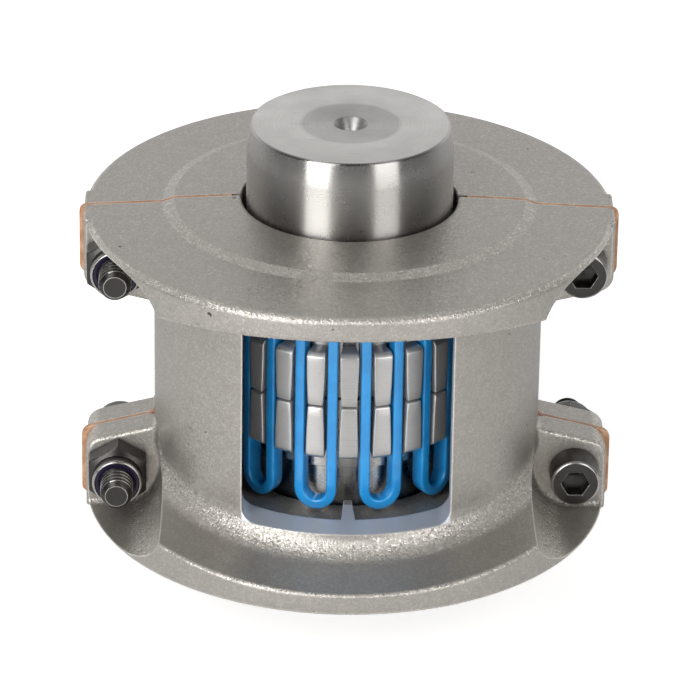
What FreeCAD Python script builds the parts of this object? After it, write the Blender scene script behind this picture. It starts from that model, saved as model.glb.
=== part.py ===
import FreeCAD, Part

# Grid coupling for two shafts: two toothed steel hubs joined by a serpentine spring strip,
# inside a split cast cover that is held by four screws. Sizes are in millimetres and degrees.
# The shaft axis is Z. Sub-parts are drawn about the middle of the gap between the hubs,
# where the front of the coupling looks along -Y, and are lifted at the end so that the
# lower hub stands on Z = 0.

import math
import os

Vector = FreeCAD.Vector
AXIS = Vector(0, 0, 1)
ORIGIN = Vector(0, 0, 0)

# Hubs
HUB_LENGTH = 48.0
HUB_GAP = 0.4
HUB_RADIUS = 19.85
NOSE_RADIUS = 19.2
NOSE_LENGTH = 5.0
NOSE_CHAMFER = 0.3
ROOT_STEP = 1.15
SHOULDER_LENGTH = 14.6
TOOTH_COUNT = 24
TOOTH_HEIGHT = 4.1
TOOTH_LENGTH = 11.0
TOOTH_CHAMFER = 0.8
TOOTH_INNER_CHAMFER = 0.25
CENTRE_DRILL_RADIUS = 3.3
PILOT_RADIUS = 1.15
PILOT_LENGTH = 3.0
CENTRE_DRILL_ANGLE = 60.0
PILOT_TIP_ANGLE = 118.0

# Spring strip, which lies in the slots between the teeth
STRIP_WIDTH = 2.0
STRIP_DEPTH = 3.25
STRIP_FLOOR_CLEARANCE = 0.55
STRIP_EDGE_CHAMFER = 0.35
STRIP_REACH = 22.3
STRIP_END_LENGTH = 1.5
SLOT_CLEARANCE = 0.45
SLOT_FLARE = 0.35
LOOP_SECTIONS = 9

# Cover
RIM_TO_SCREW = 6.25
FACE_TO_SEAL = 1.2
COVER_CONE_ANGLE = 2.9
COVER_EDGE_ROUND = 1.5
COVER_BORE_CLEARANCE = 0.85
COVER_LIP_ROUND = 0.8
LAND_WIDTH = 12.9
LAND_RAMP_WIDTH = 2.4
LAND_RISE = 0.72
LAND_ROUND = 1.0
BARREL_WALL = 6.0
CAVITY_TOOTH_CLEARANCE = 6.4
CAVITY_STRIP_CLEARANCE = 0.9
CAVITY_ROUND = 1.5
RIM_THICKNESS = 4.55
RIM_ROUND = 0.8
FLANGE_DRAFT = 9.7
FLANGE_FILLET = 5.5

# Seals, each in a groove of the cover
SEAL_DEPTH = 4.4
SEAL_WIDTH = 5.0
SEAL_HUB_CLEARANCE = 0.1
SEAL_GROOVE_CLEARANCE = 0.2
GROOVE_WALL = 1.2

# Ears with the screw seats, and the scoops that clear the screws
GASKET_THICKNESS = 0.9
GASKET_OVERHANG = 1.0
GASKET_BORE_GAP = 1.9
GASKET_INSET = 0.4
EAR_THICKNESS = 6.4
EAR_TO_SCREW = 5.6
EAR_SLOPE = 13.8
EAR_CORNER = 3.3
EAR_TOP_CORNER = 0.5
EAR_ROUND = 0.8
EAR_ROOT_FILLET = 1.75
SEAT_FILLET = 1.2
SCOOP_LID = 0.9
SCOOP_BITE = 1.8
SCOOP_SHOULDER_DROP = 13.9
SCOOP_WALL_DROP = 10.4
SCOOP_SHOULDER_ROUND = 4.0
SCOOP_ROUND = 9.0
SCREW_TO_BARREL = 7.05
SCREW_TO_FACE = 8.7

# Window in the front half, and the lug that keeps each cover half from turning
WINDOW_HALF_WIDTH = 19.9
WINDOW_OFFSET = 0.45
WINDOW_FLOOR_INSET = 1.8
WINDOW_TOP_INSET = 0.8
WINDOW_CORNER = 2.5
LUG_WIDTH = 1.5
LUG_ROOT_WIDTH = 3.2
LUG_BITE = 1.95
LUG_INSET = 3.8

# Socket cap screws, lock nuts and their inserts
SCREW_RADIUS = 3.175
SCREW_LENGTH = 26.0
SCREW_END_CHAMFER = 0.95
SCREW_HOLE_CLEARANCE = 0.225
HEAD_RADIUS = 4.765
HEAD_HEIGHT = 6.0
HEAD_CHAMFER = 0.35
SOCKET_FLATS = 4.76
SOCKET_DEPTH = 3.0
SOCKET_TIP = 0.7
NUT_FLATS = 11.11
NUT_HEIGHT = 7.05
NUT_HEX_HEIGHT = 4.6
NUT_CHAMFER_ANGLE = 30.0
NUT_BASE_CHAMFER = 0.25
COLLAR_RADIUS = 4.85
COLLAR_ROUND = 0.4
COLLAR_LIP = 0.55
INSERT_THICKNESS = 1.7
INSERT_DROP = 0.25
INSERT_BITE = 0.1

# Grease plug in the rear half
PLUG_RADIUS = 5.1
PLUG_SOCKET_FLATS = 4.76
PLUG_SOCKET_DEPTH = 3.0
PLUG_RECESS = 0.4

# Distance within which two places count as one
SAME_PLACE = 0.01

# Sizes that follow from the ones above
ROOT_RADIUS = HUB_RADIUS + ROOT_STEP
TIP_RADIUS = ROOT_RADIUS + TOOTH_HEIGHT
PITCH_ANGLE = 360.0 / TOOTH_COUNT
STRIP_INNER_RADIUS = ROOT_RADIUS + STRIP_FLOOR_CLEARANCE
STRIP_OUTER_RADIUS = STRIP_INNER_RADIUS + STRIP_DEPTH
LOOP_RADIUS = STRIP_OUTER_RADIUS * math.radians(PITCH_ANGLE / 2)
LEG_END = STRIP_REACH - LOOP_RADIUS - STRIP_WIDTH / 2
SLOT_MOUTH = STRIP_WIDTH + 2 * SLOT_CLEARANCE
SLOT_GAP_WIDTH = SLOT_MOUTH + 2 * SLOT_FLARE
BORE_RADIUS = HUB_RADIUS + COVER_BORE_CLEARANCE
LAND_RADIUS = BORE_RADIUS + LAND_WIDTH
CAVITY_RADIUS = TIP_RADIUS + CAVITY_TOOTH_CLEARANCE
BARREL_RADIUS = CAVITY_RADIUS + BARREL_WALL
SCREW_X = BARREL_RADIUS + SCREW_TO_BARREL
COVER_RADIUS = SCREW_X + RIM_TO_SCREW
CONE = math.tan(math.radians(COVER_CONE_ANGLE))
CAVITY_HALF_WIDTH = STRIP_REACH + CAVITY_STRIP_CLEARANCE
SEAL_INNER_RADIUS = HUB_RADIUS + SEAL_HUB_CLEARANCE
SEAL_OUTER_RADIUS = SEAL_INNER_RADIUS + SEAL_DEPTH
GROOVE_RADIUS = SEAL_OUTER_RADIUS + SEAL_GROOVE_CLEARANCE
GROOVE_START = CAVITY_HALF_WIDTH + GROOVE_WALL
GROOVE_END = GROOVE_START + SEAL_WIDTH + 2 * SEAL_GROOVE_CLEARANCE
COVER_EDGE_HALF_WIDTH = GROOVE_END + FACE_TO_SEAL
SPLIT = GASKET_THICKNESS / 2
GASKET_INNER_RADIUS = BORE_RADIUS + GASKET_BORE_GAP
SCREW_Z = COVER_EDGE_HALF_WIDTH - SCREW_TO_FACE
EAR_EDGE = SCREW_Z - EAR_TO_SCREW
SEAT = SPLIT + EAR_THICKNESS
SHOULDER_START = SEAT + SEAT_FILLET
SCOOP_SHOULDER = math.sqrt(BARREL_RADIUS ** 2 - SHOULDER_START ** 2)
SCOOP_WALL = BARREL_RADIUS - SCOOP_BITE
SCOOP_ROOF = COVER_EDGE_HALF_WIDTH - SCOOP_LID
LUG_TIP_RADIUS = STRIP_INNER_RADIUS + LUG_BITE
LUG_TOP = STRIP_REACH - LUG_INSET
HOLE_RADIUS = SCREW_RADIUS + SCREW_HOLE_CLEARANCE
INSERT_RADIUS = COLLAR_RADIUS - COLLAR_LIP
LIFT = HUB_LENGTH + HUB_GAP / 2
BEYOND = 2 * COVER_RADIUS


def face_height(radius):
    """Height of the cover's conical end face at a radius, without the raised land."""
    return COVER_EDGE_HALF_WIDTH + (COVER_RADIUS - radius) * CONE


def outline(corners):
    """Closed wire in the XZ plane through corners (x, z, rounding)."""
    points = [Vector(x, 0, z) for x, z, rounding in corners]
    edges = []
    last = None
    first = None
    for i, (x, z, rounding) in enumerate(corners):
        here = points[i]
        start, end = here, here
        if rounding:
            back = (points[i - 1] - here).normalize()
            ahead = (points[(i + 1) % len(points)] - here).normalize()
            half = back.getAngle(ahead) / 2
            start = here + back * (rounding / math.tan(half))
            end = here + ahead * (rounding / math.tan(half))
            middle = (back + ahead).normalize()
            crown = here + middle * (rounding / math.sin(half) - rounding)
        if last is not None:
            edges.append(Part.makeLine(last, start))
        else:
            first = start
        if rounding:
            edges.append(Part.Arc(start, crown, end).toShape())
        last = end
    edges.append(Part.makeLine(last, first))
    return Part.Wire(edges)


def turned(corners):
    """Solid of revolution about Z from corners (radius, z, rounding)."""
    return Part.Face(outline(corners)).revolve(ORIGIN, AXIS, 360)


def plate(corners, start, end):
    """Plate with an XZ outline, from Y = start to Y = end."""
    face = Part.Face(outline(corners))
    face.translate(Vector(0, start, 0))
    return face.extrude(Vector(0, end - start, 0))


def on_y_axis(shape):
    """Turns a part drawn along +Z so that it points along -Y."""
    turned_shape = shape.copy()
    turned_shape.rotate(ORIGIN, Vector(1, 0, 0), 90)
    return turned_shape


def about(shape, axis, angle):
    """Copy turned about an axis through the middle of the coupling."""
    copy = shape.copy()
    copy.rotate(ORIGIN, axis, angle)
    return copy


def hexagon(flats, height, turn):
    """Hexagonal prism on Z = 0, with a corner at the angle turn."""
    radius = flats / math.sqrt(3)
    angles = [math.radians(turn + 60 * i) for i in range(7)]
    ring = [Vector(radius * math.cos(a), radius * math.sin(a), 0) for a in angles]
    return Part.Face(Part.makePolygon(ring)).extrude(Vector(0, 0, height))


def middle_of(edge):
    """Point half way along an edge."""
    return edge.valueAt((edge.FirstParameter + edge.LastParameter) / 2)


def slot_cutter(face_z):
    """Cutter for one slot between teeth: narrow at the outer end, bowed wider at the gap."""
    outer_z = face_z + TOOTH_LENGTH
    middle_z = (face_z + outer_z) / 2
    mouth = SLOT_MOUTH / 2
    gap = SLOT_GAP_WIDTH / 2
    bow = mouth + SLOT_FLARE / 4
    right = Part.Arc(Vector(gap, 0, face_z), Vector(bow, 0, middle_z), Vector(mouth, 0, outer_z))
    left = Part.Arc(Vector(-mouth, 0, outer_z), Vector(-bow, 0, middle_z), Vector(-gap, 0, face_z))
    top = Part.makeLine(Vector(mouth, 0, outer_z), Vector(-mouth, 0, outer_z))
    bottom = Part.makeLine(Vector(-gap, 0, face_z), Vector(gap, 0, face_z))
    face = Part.Face(Part.Wire([right.toShape(), top, left.toShape(), bottom]))
    return face.extrude(Vector(0, -BEYOND, 0))


def teeth(face_z):
    """Ring of teeth, which reaches a little below the root so that it joins the hub."""
    inner = ROOT_RADIUS - TOOTH_HEIGHT / 4
    outer_z = face_z + TOOTH_LENGTH
    ring = turned([
        (inner, face_z, 0),
        (TIP_RADIUS - TOOTH_INNER_CHAMFER, face_z, 0),
        (TIP_RADIUS, face_z + TOOTH_INNER_CHAMFER, 0),
        (TIP_RADIUS, outer_z - TOOTH_CHAMFER, 0),
        (TIP_RADIUS - TOOTH_CHAMFER, outer_z, 0),
        (inner, outer_z, 0),
    ])
    cutter = slot_cutter(face_z)
    cutters = [about(cutter, AXIS, PITCH_ANGLE * (i + 0.5)) for i in range(TOOTH_COUNT)]
    return ring.cut(cutters)


def hub():
    """Upper hub: a solid steel blank with teeth at the gap and a centre drilling on its end."""
    face_z = HUB_GAP / 2
    end_z = face_z + HUB_LENGTH
    sink = (CENTRE_DRILL_RADIUS - PILOT_RADIUS) / math.tan(math.radians(CENTRE_DRILL_ANGLE / 2))
    pilot_z = end_z - sink - PILOT_LENGTH
    tip = PILOT_RADIUS / math.tan(math.radians(PILOT_TIP_ANGLE / 2))
    body = turned([
        (0, face_z, 0),
        (ROOT_RADIUS, face_z, 0),
        (ROOT_RADIUS, face_z + SHOULDER_LENGTH, 0),
        (HUB_RADIUS, face_z + SHOULDER_LENGTH, 0),
        (HUB_RADIUS, end_z - NOSE_LENGTH, 0),
        (NOSE_RADIUS, end_z - NOSE_CHAMFER, 0),
        (NOSE_RADIUS - NOSE_CHAMFER, end_z, 0),
        (CENTRE_DRILL_RADIUS, end_z, 0),
        (PILOT_RADIUS, end_z - sink, 0),
        (PILOT_RADIUS, pilot_z, 0),
        (0, pilot_z - tip, 0),
    ])
    return body.fuse(teeth(face_z)).removeSplitter()


def strip_point(radius, angle, height):
    """Point at a radius, at an angle from the front and at a height."""
    return Vector(radius * math.sin(angle), -radius * math.cos(angle), height)


def strip_section(turn):
    """Section of the strip at an angle round a loop; its flanks point to the shaft axis."""
    inner, outer = STRIP_INNER_RADIUS, STRIP_OUTER_RADIUS
    chamfer = STRIP_EDGE_CHAMFER
    half = STRIP_WIDTH / 2
    corners = [
        (inner, -half + chamfer), (inner, half - chamfer),
        (inner + chamfer, half), (outer - chamfer, half),
        (outer, half - chamfer), (outer, -half + chamfer),
        (outer - chamfer, -half), (inner + chamfer, -half),
    ]
    points = []
    for radius, offset in corners:
        reach = LOOP_RADIUS + offset
        angle = reach * math.cos(turn) / STRIP_OUTER_RADIUS
        points.append(strip_point(radius, angle, LEG_END + reach * math.sin(turn)))
    return Part.makePolygon(points + points[:1])


def strip_loop():
    """Half turn that joins two legs above the teeth at the front."""
    turns = [math.pi * i / (LOOP_SECTIONS - 1) for i in range(LOOP_SECTIONS)]
    return Part.makeLoft([strip_section(turn) for turn in turns], True, False)


def strip_leg():
    """Straight leg of the strip, half a pitch from the front."""
    return Part.Face(strip_section(0)).extrude(Vector(0, 0, -2 * LEG_END))


def grid_spring():
    """Serpentine strip with a leg in each slot; it is open at the back between two legs."""
    leg = strip_leg()
    loop = strip_loop()
    end = Part.Face(strip_section(0)).extrude(Vector(0, 0, STRIP_END_LENGTH))
    lower_loop = about(loop, Vector(0, 1, 0), 180)
    open_loop = TOOTH_COUNT // 4
    pieces = []
    for i in range(TOOTH_COUNT):
        pieces.append(about(leg, AXIS, PITCH_ANGLE * i))
    for i in range(TOOTH_COUNT // 2):
        pieces.append(about(lower_loop, AXIS, PITCH_ANGLE * (2 * i + 1)))
        if i != open_loop:
            pieces.append(about(loop, AXIS, PITCH_ANGLE * 2 * i))
    pieces.append(about(end, AXIS, PITCH_ANGLE * 2 * open_loop))
    pieces.append(about(end, AXIS, PITCH_ANGLE * (2 * open_loop - 1)))
    return pieces[0].multiFuse(pieces[1:]).removeSplitter()


def cover_section():
    """Section of the cover wall through the bore, the seal grooves and the cavity."""
    land = face_height(LAND_RADIUS) + LAND_RISE
    lip = face_height(BORE_RADIUS) + LAND_RISE
    foot_radius = LAND_RADIUS + LAND_RAMP_WIDTH
    upper = [
        (CAVITY_RADIUS, CAVITY_HALF_WIDTH, CAVITY_ROUND),
        (BORE_RADIUS, CAVITY_HALF_WIDTH, 0),
        (BORE_RADIUS, GROOVE_START, 0),
        (GROOVE_RADIUS, GROOVE_START, 0),
        (GROOVE_RADIUS, GROOVE_END, 0),
        (BORE_RADIUS, GROOVE_END, 0),
        (BORE_RADIUS, lip, COVER_LIP_ROUND),
        (LAND_RADIUS, land, LAND_ROUND),
        (foot_radius, face_height(foot_radius), LAND_ROUND),
        (COVER_RADIUS, COVER_EDGE_HALF_WIDTH, COVER_EDGE_ROUND),
    ]
    lower = [(radius, -z, rounding) for radius, z, rounding in reversed(upper)]
    return upper + lower


def waist():
    """Space outside the barrel, between flanges whose inner faces are drafted to the front."""
    rim_z = COVER_EDGE_HALF_WIDTH - RIM_THICKNESS
    slope = math.tan(math.radians(FLANGE_DRAFT))
    back, front = COVER_RADIUS / 8, -BEYOND
    back_z = rim_z - (COVER_RADIUS + back) * slope
    front_z = rim_z + (-front - COVER_RADIUS) * slope
    side = Part.makePolygon([
        Vector(-BEYOND, back, -back_z), Vector(-BEYOND, back, back_z),
        Vector(-BEYOND, front, front_z), Vector(-BEYOND, front, -front_z),
        Vector(-BEYOND, back, -back_z),
    ])
    block = Part.Face(side).extrude(Vector(2 * BEYOND, 0, 0))
    core = Part.makeCylinder(BARREL_RADIUS, 2 * BEYOND, Vector(0, 0, -BEYOND), AXIS)
    block = block.cut(core)
    seams = [edge for edge in block.Edges if on_barrel_seam(edge)]
    return block.makeFillet(FLANGE_FILLET, seams)


def on_barrel_seam(edge):
    """Whether an edge is where a drafted flange face meets the barrel."""
    middle = middle_of(edge)
    on_barrel = abs(math.hypot(middle.x, middle.y) - BARREL_RADIUS) < SAME_PLACE
    return on_barrel and edge.BoundBox.XLength > BARREL_RADIUS / 2


def on_rim(edge):
    """Whether an edge is where a drafted flange face meets the outer rim."""
    middle = middle_of(edge)
    inside = abs(middle.z) < COVER_EDGE_HALF_WIDTH - RIM_THICKNESS / 2
    on_edge = abs(math.hypot(middle.x, middle.y) - COVER_RADIUS) < SAME_PLACE
    return inside and on_edge and edge.BoundBox.XLength > BARREL_RADIUS / 2


def scoop(side, end):
    """Scoop beside the barrel that clears a screw; its end is the screw seat."""
    corners = [
        (BEYOND, 0, 0),
        (SCOOP_SHOULDER, 0, 0),
        (SCOOP_SHOULDER, SCOOP_ROOF - SCOOP_SHOULDER_DROP, SCOOP_SHOULDER_ROUND),
        (SCOOP_WALL, SCOOP_ROOF - SCOOP_WALL_DROP, SCOOP_SHOULDER_ROUND),
        (SCOOP_WALL, SCOOP_ROOF, SCOOP_ROUND),
        (BEYOND, SCOOP_ROOF, 0),
    ]
    placed = [(side * x, end * z, rounding) for x, z, rounding in corners]
    cutter = plate(placed, -SEAT, -BEYOND)
    return cutter.makeFillet(SEAT_FILLET, [edge for edge in cutter.Edges if round_seat(edge)])


def in_seat_plane(edge):
    """Whether an edge lies in the plane of the front screw seats."""
    return edge.BoundBox.YLength < SAME_PLACE and abs(middle_of(edge).y + SEAT) < SAME_PLACE


def round_seat(edge):
    """Whether an edge of a scoop lies round the screw seat."""
    middle = middle_of(edge)
    return in_seat_plane(edge) and abs(middle.z) > SAME_PLACE and abs(middle.x) < BEYOND - SAME_PLACE


def ear_edge_height(x):
    """Height of an ear's sloping edge at a distance from the axis."""
    return EAR_EDGE - (COVER_RADIUS - x) * math.tan(math.radians(EAR_SLOPE))


def ear_root(side, end):
    """Thicker root beside the barrel, which the scoop leaves as a fillet round the seat."""
    reach = SCOOP_SHOULDER + SEAT_FILLET
    inner = (CAVITY_RADIUS + BARREL_RADIUS) / 2
    corners = [
        (inner, ear_edge_height(inner), 0),
        (reach, ear_edge_height(reach), 0),
        (reach, SCOOP_ROOF, 0),
        (inner, SCOOP_ROOF, 0),
    ]
    placed = [(side * x, end * z, rounding) for x, z, rounding in corners]
    return plate(placed, -SPLIT, -SHOULDER_START)


def ear(side, end):
    """Flat ear that carries the screw seat, with a rounded front edge."""
    inner = (CAVITY_RADIUS + BARREL_RADIUS) / 2
    foot = ear_edge_height(SCOOP_SHOULDER)
    corners = [
        (inner, foot - 2 * EAR_ROOT_FILLET, 0),
        (SCOOP_SHOULDER, foot - 2 * EAR_ROOT_FILLET, 0),
        (SCOOP_SHOULDER, foot, EAR_ROOT_FILLET),
        (COVER_RADIUS, EAR_EDGE, EAR_CORNER),
        (COVER_RADIUS, COVER_EDGE_HALF_WIDTH, EAR_TOP_CORNER),
        (inner, COVER_EDGE_HALF_WIDTH, 0),
    ]
    placed = [(side * x, end * z, rounding) for x, z, rounding in corners]
    body = plate(placed, -SPLIT, -SEAT)
    return body.makeFillet(EAR_ROUND, [edge for edge in body.Edges if on_ear_front(edge)])


def on_ear_front(edge):
    """Whether an edge is the sloping, rounded or outer edge of an ear's front."""
    middle = middle_of(edge)
    beyond_root = abs(middle.x) > SCOOP_SHOULDER + EAR_ROOT_FILLET
    return in_seat_plane(edge) and beyond_root and abs(middle.z) < SCOOP_ROOF


def screw_holes():
    """Clearance holes for the four screws."""
    hole = Part.makeCylinder(HOLE_RADIUS, 2 * BEYOND, Vector(0, -BEYOND, 0), Vector(0, 1, 0))
    holes = []
    for side in (-1, 1):
        for end in (-1, 1):
            copy = hole.copy()
            copy.translate(Vector(side * SCREW_X, 0, end * SCREW_Z))
            holes.append(copy)
    return holes


def lug():
    """Radial lug at the lower end, between two loops of the strip."""
    root = CAVITY_RADIUS + BARREL_WALL / 2
    plan = Part.makePolygon([
        Vector(-LUG_ROOT_WIDTH / 2, -root, 0), Vector(-LUG_WIDTH / 2, -LUG_TIP_RADIUS, 0),
        Vector(LUG_WIDTH / 2, -LUG_TIP_RADIUS, 0), Vector(LUG_ROOT_WIDTH / 2, -root, 0),
        Vector(-LUG_ROOT_WIDTH / 2, -root, 0),
    ])
    body = Part.Face(plan).extrude(Vector(0, 0, -(CAVITY_HALF_WIDTH + GROOVE_WALL / 2 - LUG_TOP)))
    body.translate(Vector(0, 0, -LUG_TOP))
    return body


def cover_half():
    """Front half of the cover, without the window."""
    ring = turned(cover_section())
    keep = Part.makeBox(2 * BEYOND, BEYOND, 2 * BEYOND, Vector(-BEYOND, -BEYOND - SPLIT, -BEYOND))
    half = ring.common(keep).cut(waist())
    half = half.makeFillet(RIM_ROUND, [edge for edge in half.Edges if on_rim(edge)])
    places = [(side, end) for side in (-1, 1) for end in (-1, 1)]
    half = half.multiFuse([ear_root(side, end) for side, end in places])
    half = half.cut([scoop(side, end) for side, end in places])
    half = half.multiFuse([ear(side, end) for side, end in places] + [lug()])
    return half.cut(screw_holes()).removeSplitter()


def window():
    """Cutter for the window, milled from the front."""
    left = -WINDOW_OFFSET - WINDOW_HALF_WIDTH
    right = -WINDOW_OFFSET + WINDOW_HALF_WIDTH
    floor = WINDOW_FLOOR_INSET - STRIP_REACH
    top = STRIP_REACH - WINDOW_TOP_INSET
    corners = [
        (left, floor, WINDOW_CORNER),
        (right, floor, WINDOW_CORNER),
        (right, top, WINDOW_CORNER),
        (left, top, WINDOW_CORNER),
    ]
    return plate(corners, -(LUG_TIP_RADIUS - LUG_WIDTH), -BEYOND)


def cover_half_front():
    """Front half, with the window that shows the spring."""
    return cover_half().cut(window())


def cover_half_rear():
    """Rear half, turned half round, with the hole for the grease plug."""
    half = about(cover_half(), AXIS, 180)
    hole = Part.makeCylinder(PLUG_RADIUS, BEYOND, Vector(0, 0, 0), Vector(0, 1, 0))
    return half.cut(hole)


def gasket(side):
    """Flat gasket between the halves on one side; it shows round the ears."""
    land = face_height(LAND_RADIUS) + LAND_RISE
    inner_top = face_height(GASKET_INNER_RADIUS) + LAND_RISE
    foot_radius = LAND_RADIUS + LAND_RAMP_WIDTH
    edge = COVER_RADIUS + GASKET_OVERHANG
    groove = GROOVE_RADIUS + GASKET_INSET
    inner_end = GROOVE_END + GASKET_INSET
    inner_wall = CAVITY_RADIUS + GASKET_INSET
    inner_face = CAVITY_HALF_WIDTH + GASKET_INSET
    upper = [
        (inner_wall, inner_face, 0),
        (groove, inner_face, 0),
        (groove, inner_end, 0),
        (GASKET_INNER_RADIUS, inner_end, 0),
        (GASKET_INNER_RADIUS, inner_top, 0),
        (LAND_RADIUS, land, LAND_ROUND),
        (foot_radius, face_height(foot_radius), LAND_ROUND),
        (edge, face_height(edge), EAR_TOP_CORNER + GASKET_OVERHANG),
        (edge, ear_edge_height(edge), EAR_CORNER - GASKET_OVERHANG),
        (BARREL_RADIUS, ear_edge_height(BARREL_RADIUS), EAR_ROOT_FILLET),
    ]
    lower = [(x, -z, rounding) for x, z, rounding in reversed(upper)]
    placed = [(side * x, z, rounding) for x, z, rounding in upper + lower]
    return plate(placed, SPLIT, -SPLIT).cut(screw_holes())


def seal():
    """Rubber ring in the upper groove of the cover, around the hub."""
    start = GROOVE_START + SEAL_GROOVE_CLEARANCE
    end = start + SEAL_WIDTH
    bevel = SEAL_DEPTH / 4
    return turned([
        (SEAL_INNER_RADIUS, start + bevel, 0),
        (SEAL_INNER_RADIUS + bevel, start, 0),
        (SEAL_OUTER_RADIUS, start, 0),
        (SEAL_OUTER_RADIUS, end, 0),
        (SEAL_INNER_RADIUS + bevel, end, 0),
        (SEAL_INNER_RADIUS, end - bevel, 0),
    ])


def screw():
    """Socket cap screw along Z: the seat is Z = 0, the head is above and the shank below."""
    body = turned([
        (0, -SCREW_LENGTH, 0),
        (SCREW_RADIUS - SCREW_END_CHAMFER, -SCREW_LENGTH, 0),
        (SCREW_RADIUS, -SCREW_LENGTH + SCREW_END_CHAMFER, 0),
        (SCREW_RADIUS, 0, 0),
        (HEAD_RADIUS, 0, 0),
        (HEAD_RADIUS, HEAD_HEIGHT - HEAD_CHAMFER, 0),
        (HEAD_RADIUS - HEAD_CHAMFER, HEAD_HEIGHT, 0),
        (0, HEAD_HEIGHT, 0),
    ])
    bottom = HEAD_HEIGHT - SOCKET_DEPTH
    socket = hexagon(SOCKET_FLATS, SOCKET_DEPTH, 0)
    socket.translate(Vector(0, 0, bottom))
    drill = Part.makeCone(0, SOCKET_FLATS / 2, SOCKET_TIP, Vector(0, 0, bottom - SOCKET_TIP), AXIS)
    return body.cut([socket, drill])


def nut():
    """Lock nut along Z: hexagon on the seat Z = 0, then a round collar that holds the insert."""
    corner = NUT_FLATS / math.sqrt(3)
    drop = (corner - COLLAR_RADIUS) * math.tan(math.radians(NUT_CHAMFER_ANGLE))
    insert_bottom = NUT_HEIGHT - INSERT_DROP - INSERT_THICKNESS
    envelope = turned([
        (SCREW_RADIUS, 0, 0),
        (corner - NUT_BASE_CHAMFER, 0, 0),
        (corner, NUT_BASE_CHAMFER, 0),
        (corner, NUT_HEX_HEIGHT - drop, 0),
        (COLLAR_RADIUS, NUT_HEX_HEIGHT, 0),
        (COLLAR_RADIUS, NUT_HEIGHT, COLLAR_ROUND),
        (INSERT_RADIUS, NUT_HEIGHT, 0),
        (INSERT_RADIUS, insert_bottom, 0),
        (SCREW_RADIUS, insert_bottom, 0),
    ])
    return envelope.common(hexagon(NUT_FLATS, NUT_HEIGHT, 90))


def insert():
    """Nylon ring in the nut's collar; the screw has cut its thread in it."""
    top = NUT_HEIGHT - INSERT_DROP
    bottom = top - INSERT_THICKNESS
    inner = SCREW_RADIUS
    return turned([
        (inner, bottom, 0),
        (INSERT_RADIUS, bottom, 0),
        (INSERT_RADIUS, top, 0),
        (inner + INSERT_BITE, top, 0),
        (inner, top - INSERT_BITE, 0),
    ])


def plug():
    """Pipe plug along Z in the rear barrel wall, with a hexagon socket."""
    top = BARREL_RADIUS - PLUG_RECESS
    bottom = CAVITY_RADIUS + PLUG_RECESS
    body = Part.makeCylinder(PLUG_RADIUS, top - bottom, Vector(0, 0, bottom), AXIS)
    socket = hexagon(PLUG_SOCKET_FLATS, PLUG_SOCKET_DEPTH, 0)
    socket.translate(Vector(0, 0, top - PLUG_SOCKET_DEPTH))
    return body.cut(socket)


def fastener_nodes():
    """Screws, nuts and inserts: heads to the front on the right, nuts to the front on the left."""
    nodes = {}
    screw_shape, nut_shape, insert_shape = on_y_axis(screw()), on_y_axis(nut()), on_y_axis(insert())
    for side, side_name in ((-1, "left"), (1, "right")):
        head_turn = 0 if side > 0 else 180
        for end, end_name in ((1, "upper"), (-1, "lower")):
            place = f"{side_name}_{end_name}"
            for name, shape, turn in (
                ("screw", screw_shape, head_turn),
                ("nut", nut_shape, 180 - head_turn),
                ("nut_insert", insert_shape, 180 - head_turn),
            ):
                piece = shape.copy()
                piece.translate(Vector(0, -SEAT, 0))
                piece = about(piece, AXIS, turn)
                piece.translate(Vector(side * SCREW_X, 0, end * SCREW_Z))
                nodes[f"{name}_{place}"] = piece
    return nodes


def coupling_nodes():
    """Every sub-part by name, drawn about the middle of the gap."""
    flip = Vector(0, 1, 0)
    nodes = {
        "hub_upper": hub(),
        "hub_lower": about(hub(), flip, 180),
        "grid_spring": grid_spring(),
        "cover_half_front": cover_half_front(),
        "cover_half_rear": cover_half_rear(),
        "gasket_left": gasket(-1),
        "gasket_right": gasket(1),
        "seal_upper": seal(),
        "seal_lower": about(seal(), flip, 180),
        "grease_plug": about(on_y_axis(plug()), AXIS, 180),
    }
    nodes.update(fastener_nodes())
    return nodes


def main():
    """Writes one STEP file per sub-part."""
    os.makedirs("parts", exist_ok=True)
    for name, shape in coupling_nodes().items():
        shape.translate(Vector(0, 0, LIFT))
        shape.exportStep(f"parts/{name}.step")
        print(name, "valid" if shape.isValid() else "INVALID", len(shape.Solids), round(shape.Volume, 1))


main()
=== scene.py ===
"""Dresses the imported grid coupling: fine metal pieces, finishes, studio light and camera."""

import logging
import math
from dataclasses import dataclass, field
from enum import Enum
from typing import Callable, Sequence

import bmesh
import bpy
from mathutils import Matrix, Vector


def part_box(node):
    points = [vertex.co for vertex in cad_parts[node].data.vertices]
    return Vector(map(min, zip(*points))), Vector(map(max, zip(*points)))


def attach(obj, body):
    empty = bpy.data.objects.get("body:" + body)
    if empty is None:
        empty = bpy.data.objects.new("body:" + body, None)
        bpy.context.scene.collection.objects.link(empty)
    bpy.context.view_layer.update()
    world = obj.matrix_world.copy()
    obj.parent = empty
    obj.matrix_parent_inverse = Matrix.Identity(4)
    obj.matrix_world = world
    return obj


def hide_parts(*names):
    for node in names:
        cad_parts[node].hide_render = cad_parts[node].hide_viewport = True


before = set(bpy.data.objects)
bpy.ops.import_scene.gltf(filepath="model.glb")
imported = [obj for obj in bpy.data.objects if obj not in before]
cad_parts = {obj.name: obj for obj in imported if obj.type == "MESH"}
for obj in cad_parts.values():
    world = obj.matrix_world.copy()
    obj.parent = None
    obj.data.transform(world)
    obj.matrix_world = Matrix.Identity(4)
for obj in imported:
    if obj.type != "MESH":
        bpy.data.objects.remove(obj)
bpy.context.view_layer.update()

LOG = logging.getLogger("grid_coupling")
MM = 0.001
WELD_DISTANCE = 1e-7
BODY = "root"
TOOTH_COUNT = 24

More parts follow.
